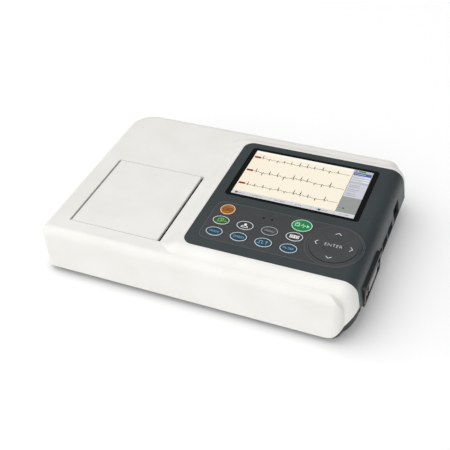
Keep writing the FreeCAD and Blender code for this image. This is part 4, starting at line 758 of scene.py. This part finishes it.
def key_pictograms():
    """Generic pictograms, drawn in millimetres round the middle of each cap."""
    arc = math.radians
    power = ring(-2.3, 0, 1.65, 1.65, 0.5, 30, arc(125), arc(415)) + stroke([(-2.3, 0.5), (-2.3, 2.2)], 0.5)
    power += ring(2.4, 0, 1.65, 1.65, 0.5, 30) + stroke([(2.4, -0.8), (2.4, 0.8)], 0.5)
    power += stroke([(-0.45, -1.9), (0.45, 1.9)], 0.4)
    printer = stroke([(-5.6, -1.4), (-5.6, 1.1), (-2.2, 1.1), (-2.2, -1.4)], 0.6, True)
    printer += stroke([(-5.0, 1.1), (-5.0, 2.6), (-2.8, 2.6), (-2.8, 1.1)], 0.5)
    printer += stroke([(-1.0, 0), (0.0, 0), (0.7, 2.4), (1.5, -2.4), (2.1, 0.6), (2.6, 0), (3.4, 0)], 0.55)
    printer += [[(4.1, -1.8), (6.5, 0.0), (4.1, 1.8)]]
    copy = stroke([(-2.6, -1.9), (-2.6, 1.4), (0.2, 1.4), (0.2, -1.9)], 0.5, True)
    copy += stroke([(-1.2, 1.5), (-1.2, 2.5), (1.8, 2.5), (1.8, -0.9), (0.3, -0.9)], 0.5)
    copy += stroke([(2.9, -1.2), (3.9, 0.2), (4.9, -1.2)], 0.45)
    person = [disc(0, 1.35, 1.15)] + ring(0, -2.2, 2.7, 2.3, 0.65, 20, 0.0, math.pi)
    person += stroke([(-3.0, -2.3), (3.0, -2.3)], 0.6)
    leads = stroke([(-3.6, -1.5), (-3.6, 1.5), (3.6, 1.5), (3.6, -1.5)], 0.6, True)
    leads += [disc(x, 0, 0.85) for x in (-2.0, 2.0)] + [rect(-0.6, -1.2, 0.6, 1.2)]
    pulse = stroke([(-4.6, -1.5), (-3.2, -1.5), (-3.2, 1.6), (-0.9, 1.6), (-0.9, -1.5), (0.4, -1.5)], 0.5)
    pulse += stroke([(2.6, -1.9), (2.6, 1.9)], 0.5) + stroke([(1.6, 0.9), (2.6, 2.1), (3.6, 0.9)], 0.5)
    return {"power_key": power, "print_key": printer, "copy_key": copy, "patient_key": person,
            "lead_key": leads, "gain_key": pulse}


class EcgKeys(bpy.types.Operator):
    """Printed key caps, their printed outlines with painted light over the caps' rounded edges, their
    legends, the arrows and the enter key
    """
    bl_idname = "ecg.keys"
    bl_label = "Keys"

    def execute(self, context):
        sizes = context.scene.ecg_keys
        thick = sizes.ink_thickness
        tree = outline_tree()
        pictures = key_pictograms()
        inks = {}

        def ink(code):
            if code not in inks:
                inks[code] = printed("printed_ink_" + code.lower(), code, code, 0.4)
            return inks[code]

        for key, (a, b, low, high, edge, legend) in KEY_STYLES.items():
            dress(printed("printed_cap_" + key, low, high), key)
            x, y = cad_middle(key)
            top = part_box(key)[1].z
            inset = sizes.outline_inset
            deep, slot = sizes.painted_rim_light_depth, key_slot(key)
            # a printed outline near the cap's edge, run on down over the rounded edge: there it is painted
            # light over the edge's shade
            path = oval_path(x, y, a * MM - inset, b * MM - inset)
            outlined(key + "_outline", path, top + thick - deep / 2, sizes.outline_width, deep, ink(edge),
                     key, tree)
            if key in pictures:
                print_layer(key + "_legend", pictures[key], top, thick, ink(legend), key, (x, y))
            else:
                words, wide = KEY_WORDS[key]
                lettering(key + "_legend", words, wide * MM, top, thick, (x, y), ink(legend), key)

        plain = printed("printed_cap_pad", "35383A", "393C3E", 0.42)
        dress(plain, "enter_key", *ARROWS)
        x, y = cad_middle("enter_key")
        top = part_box("enter_key")[1].z
        mark = printed("printed_pad_white", "DADDDD", "E2E4E4", 0.4)
        film = 0.06 * MM
        inner = 8.0
        print_layer("enter_key_film", [disc(0, 0, inner - 0.1, 72)], top - film / 2, film, plain,
                    "enter_key", (x, y))
        lettering("enter_key_legend", "ENTER", 14.4 * MM, top + film / 2, thick, (x, y), mark,
                  "enter_key", -0.018)
        for key, heading in ARROWS.items():
            t = math.radians(heading)
            print_layer(key + "_film", self.sector(inner, sizes.pad_ring / MM, t, sizes.pad_gap / MM / 2),
                        top - film / 2, film, plain, key, (x, y))
            chevron = [(13.3, 2.4), (15.3, 0.0), (13.3, -2.4)]
            turned = [(u * math.cos(t) - v * math.sin(t), u * math.sin(t) + v * math.cos(t))
                      for u, v in chevron]
            print_layer(key + "_legend", stroke(turned, 0.5), top + film / 2, thick, mark, key,
                        (x, y))
        return {"FINISHED"}

    def sector(self, inner, outer, middle, gap):
        """A quarter of a ring, that gap short of its two straight neighbours, as four-cornered patches."""
        steps, sides = 24, []
        for k in range(steps + 1):
            share = 2 * k / steps - 1
            sides.append([(r * math.cos(middle + share * (math.pi / 4 - gap / r)),
                           r * math.sin(middle + share * (math.pi / 4 - gap / r))) for r in (inner, outer)])
        return [[a[0], a[1], b[1], b[0]] for a, b in zip(sides, sides[1:])]


def key_slot(key):
    """The record's slot of a key."""
    return {s["node"]: s["material_slot"] for s in frame["record"]["subparts"]}[key]


class EcgPrinter(bpy.types.Operator):
    """Finishes of the paper bay and printing mechanism"""
    bl_idname = "ecg.printer"
    bl_label = "Printer"

    def execute(self, context):
        dress(moulded("moulded_abs_bay_grey", "33373A", "3A3E41", 0.5, 1.2), "paper_tray", "paper_spindle")
        dress(recording_paper("thermal_chart_paper", "paper_roll"), "paper_roll")
        # wound kraft board: brown, with the winding's rings
        board, tree, shader = new_finish("wound_kraft_board", "9C7B55", 0.8, IOR=1.45)
        mottle(tree, shader, "8E6E4B", "A98A62", 0.9, (1, 0.05, 1))
        grain(tree, shader, 0.5, 0.03)
        dress(board, "paper_core")
        # acetal: milky, slippery, faint tool marks
        dress(moulded("moulded_acetal_natural", "E2DFD3", "E8E5DA", 0.36, 0.8, 0.006),
              "platen_gear", "idler_gear", "platen_bushes")
        dress(steel("turned_steel", "9A9B9D", "B0B1B3", 0.24, (1, 0.1, 1)),
              "hinge_pin", "platen_shaft", "motor_shaft", "chassis_pins")
        dress(steel("turned_brass", "B58E45", "C9A45A", 0.26, (1, 0.1, 1)), "motor_pinion")
        dress(steel("zinc_plated_sheet", "9EA1A6", "B4B7BB", 0.34, (0.25, 1, 1)),
              "printer_chassis", "feed_motor")
        # sprung stainless strip: bright, marks along the roll direction
        dress(steel("sprung_stainless_strip", "A3A5A8", "B8BABD", 0.2, (1, 0.15, 1)), "head_spring")
        dress(steel("milled_aluminium", "A9ABAE", "BCBEC1", 0.32, (1, 0.2, 1)), "print_head")
        return {"FINISHED"}


class EcgConnectors(bpy.types.Operator):
    """Sockets on the right end and the back, with their contacts"""
    bl_idname = "ecg.connectors"
    bl_label = "Connectors"

    def execute(self, context):
        # glass-filled nylon: black, harder and glossier than the housing
        dress(moulded("moulded_nylon_black", "0F1011", "151617", 0.36, 0.9, 0.01),
              "lead_frame", "mains_inlet", "round_socket")
        nickel = steel("nickel_plated_shell", "8F9092", "A5A6A8", 0.28, (1, 0.4, 1))
        dress(nickel, "patient_connector", "data_sockets", "jack_posts")
        dress(steel("nickel_plated_brass", "B4A06A", "C4B07A", 0.24, (1, 1, 0.3)),
              "inlet_pins", "bonding_pin")
        tree = contact_tree()
        gold = steel("gold_flashed_contact", "C79A3C", "D8AE52", 0.2)
        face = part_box("patient_connector")[1].x
        low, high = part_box("lead_frame")
        y, z = (low.y + high.y) / 2, (low.z + high.z) / 2
        # the fifteen sleeves sit just inside the holes of the contact block
        pitch = 2.77 * MM
        for name, count, dz in (("upper_sleeves", 8, 1.42), ("lower_sleeves", 7, -1.42)):
            mesh = grown(name, bpy.data.meshes.new(name), tree,
                         {"Size": (3.0 * MM, 0.7 * MM, 0.7 * MM), "Pitch": pitch, "Count": count,
                          "First": (face - 4.5 * MM, y - (count - 1) / 2 * pitch, z + dz * MM),
                          "Metal": gold})
            settle(mesh_piece(name, mesh), FIXED)
        self.network(tree, gold)
        self.blades(tree, gold)
        return {"FINISHED"}

    def network(self, tree, gold):
        """Eight springy wires along the roof of the network socket."""
        low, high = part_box("data_sockets")
        mesh = grown("network_wires", bpy.data.meshes.new("network_wires"), tree,
                     {"Size": (8.0 * MM, 0.45 * MM, 0.4 * MM), "Pitch": 1.02 * MM, "Count": 8,
                      "First": (high.x - 7.0 * MM, high.y - 11.57 * MM, low.z + 3.0 * MM), "Metal": gold})
        settle(mesh_piece("network_wires", mesh), FIXED)

    def blades(self, tree, gold):
        """Four contacts under each tongue of the two USB sockets."""
        low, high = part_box("data_sockets")
        for name, middle in (("usb_back_contacts", low.y + 24.25 * MM),
                             ("usb_front_contacts", low.y + 7.25 * MM)):
            mesh = grown(name, bpy.data.meshes.new(name), tree,
                         {"Size": (7.0 * MM, 1.0 * MM, 0.12 * MM), "Pitch": 2.2 * MM, "Count": 4,
                          "First": (high.x - 5.5 * MM, middle - 3.3 * MM, low.z + 4.04 * MM), "Metal": gold})
            settle(mesh_piece(name, mesh), FIXED)


class EcgInside(bpy.types.Operator):
    """Finishes of the boards, battery, display frame and speaker"""
    bl_idname = "ecg.inside"
    bl_label = "Inside"

    def execute(self, context):
        # solder-masked glass epoxy: deep green, semi-gloss, faint weave
        mask, tree, shader = new_finish("solder_masked_board", "1E5B34", 0.32, IOR=1.55)
        mottle(tree, shader, "1A5230", "246A3E", 5.0)
        grain(tree, shader, 0.4, 0.01)
        dress(mask, "keypad_board", "main_board", "lead_board", "power_board")
        dress(steel("zinc_plated_bracket", "9EA1A6", "B4B7BB", 0.36, (0.3, 1, 1)),
              "display_bracket", "lead_board_shield")
        # heat-shrunk PVC over cells: deep blue, tight and glossy
        wrap, tree, shader = new_finish("shrunk_pvc_blue", "173E78", 0.24, IOR=1.53)
        mottle(tree, shader, "14386E", "1C4888", 6.0)
        grain(tree, shader, 3.0, 0.05)
        dress(wrap, "battery_pack")
        dress(moulded("moulded_speaker_black", "141414", "1A1A1A", 0.55, 0.9), "speaker")
        return {"FINISHED"}


class EcgUnderside(bpy.types.Operator):
    """Screw heads with painted shade for their cross recesses, and the blank rating plate"""
    bl_idname = "ecg.underside"
    bl_label = "Underside"

    def execute(self, context):
        zinc = steel("zinc_plated_screw", "8C8E91", "A2A4A7", 0.3, (1, 1, 1), 0.5)
        dress(zinc, "housing_screws", "small_screws")
        # painted shade: a thin flat black cross on each screw head stands in for the shade inside its cross
        # recess
        dark = moulded("recess_shadow_black", "0C0C0C", "121212", 0.6, 0.5)
        heads = screw_heads("housing_screws")
        mesh = bpy.data.meshes.new("recess_points")
        mesh.from_pydata(heads, [], [])
        made = grown("painted_recess_shade", mesh, painted_recess_shade_tree(),
                     {"Span": 2.6 * MM, "Slot": 0.6 * MM, "Depth": 0.06 * MM, "Metal": dark})
        settle(mesh_piece("painted_recess_shade", made), FIXED)
        # printed polyester rating plate, left blank: silver-grey with ruled fields and no words
        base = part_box("lower_housing")[0].z
        plate = printed("printed_polyester_silver", "A8ABAD", "B2B5B7", 0.38)
        rule = printed("printed_rule_grey", "55585A", "5C5F61", 0.4)
        x, y = -18 * MM, 42 * MM
        outline = overlay_loop(50.0, 28.0, 2.0)
        print_layer("rating_plate", [outline], base - 0.12 * MM, 0.1 * MM, plate, FIXED, (x, y))
        fields = stroke(overlay_loop(46.0, 24.0, 1.2), 0.3, True)
        for level in (-7.0, -1.0, 5.0):
            fields += stroke([(-22.8, level), (22.8, level)], 0.3)
        print_layer("rating_plate_rules", fields, base - 0.16 * MM, 0.05 * MM, rule, FIXED,
                    (x, y))
        return {"FINISHED"}


def overlay_loop(length, depth, corner):
    """A rounded rectangle round a point, in millimetres."""
    points = []
    for sx, sy, first in ((1, 1, 0), (-1, 1, 90), (-1, -1, 180), (1, -1, 270)):
        cx, cy = sx * (length / 2 - corner), sy * (depth / 2 - corner)
        turns = [math.radians(first + t) for t in range(0, 91, 15)]
        points += [(cx + corner * math.cos(t), cy + corner * math.sin(t)) for t in turns]
    return points


def screw_heads(node):
    """The middle of each screw head of a node, found from its separate solids."""
    solids = bmesh.new()
    solids.from_mesh(NODES[node].data)
    bmesh.ops.remove_doubles(solids, verts=solids.verts, dist=1e-6)
    left, spots = set(solids.verts), []
    while left:
        group, edge = set(), [left.pop()]
        while edge:
            v = edge.pop()
            group.add(v)
            for e in v.link_edges:
                other = e.other_vert(v)
                if other in left:
                    left.discard(other)
                    edge.append(other)
        low = min(v.co.z for v in group)
        xs, ys = [v.co.x for v in group], [v.co.y for v in group]
        spots.append(((min(xs) + max(xs)) / 2, (min(ys) + max(ys)) / 2, low))
    solids.free()
    return spots


class EcgPanelUi(bpy.types.Panel):
    """Every step of the recorder's looks, in order"""
    bl_idname = "VIEW3D_PT_ecg_looks"
    bl_label = "ECG recorder"
    bl_space_type = "VIEW_3D"
    bl_region_type = "UI"
    bl_category = "ECG"

    def draw(self, context):
        for step in STEPS:
            self.layout.operator(step.bl_idname)
        for group in PROPERTIES:
            holder = getattr(context.scene, group)
            for name in holder.bl_rna.properties.keys():
                if name not in ("rna_type", "name"):
                    self.layout.prop(holder, name)


STEPS = (EcgStage, EcgHousing, EcgPanel, EcgScreen, EcgKeys, EcgPrinter, EcgConnectors, EcgInside,
         EcgUnderside)
PROPERTIES = {"ecg_screen": EcgScreenSizes, "ecg_keys": EcgKeySizes, "ecg_panel": EcgPanelSizes,
              "ecg_stage": EcgStageSizes}


def register():
    for group in PROPERTIES.values():
        bpy.utils.register_class(group)
    for name, group in PROPERTIES.items():
        setattr(bpy.types.Scene, name, PointerProperty(type=group))
    for kind in STEPS + (EcgPanelUi,):
        bpy.utils.register_class(kind)


def unregister():
    for kind in (EcgPanelUi,) + STEPS[::-1]:
        bpy.utils.unregister_class(kind)
    for name, group in PROPERTIES.items():
        delattr(bpy.types.Scene, name)
        bpy.utils.unregister_class(group)


def main():
    register()
    for step in STEPS:
        area, name = step.bl_idname.split(".")
        getattr(getattr(bpy.ops, area), name)()


if __name__ == "__main__":
    main()
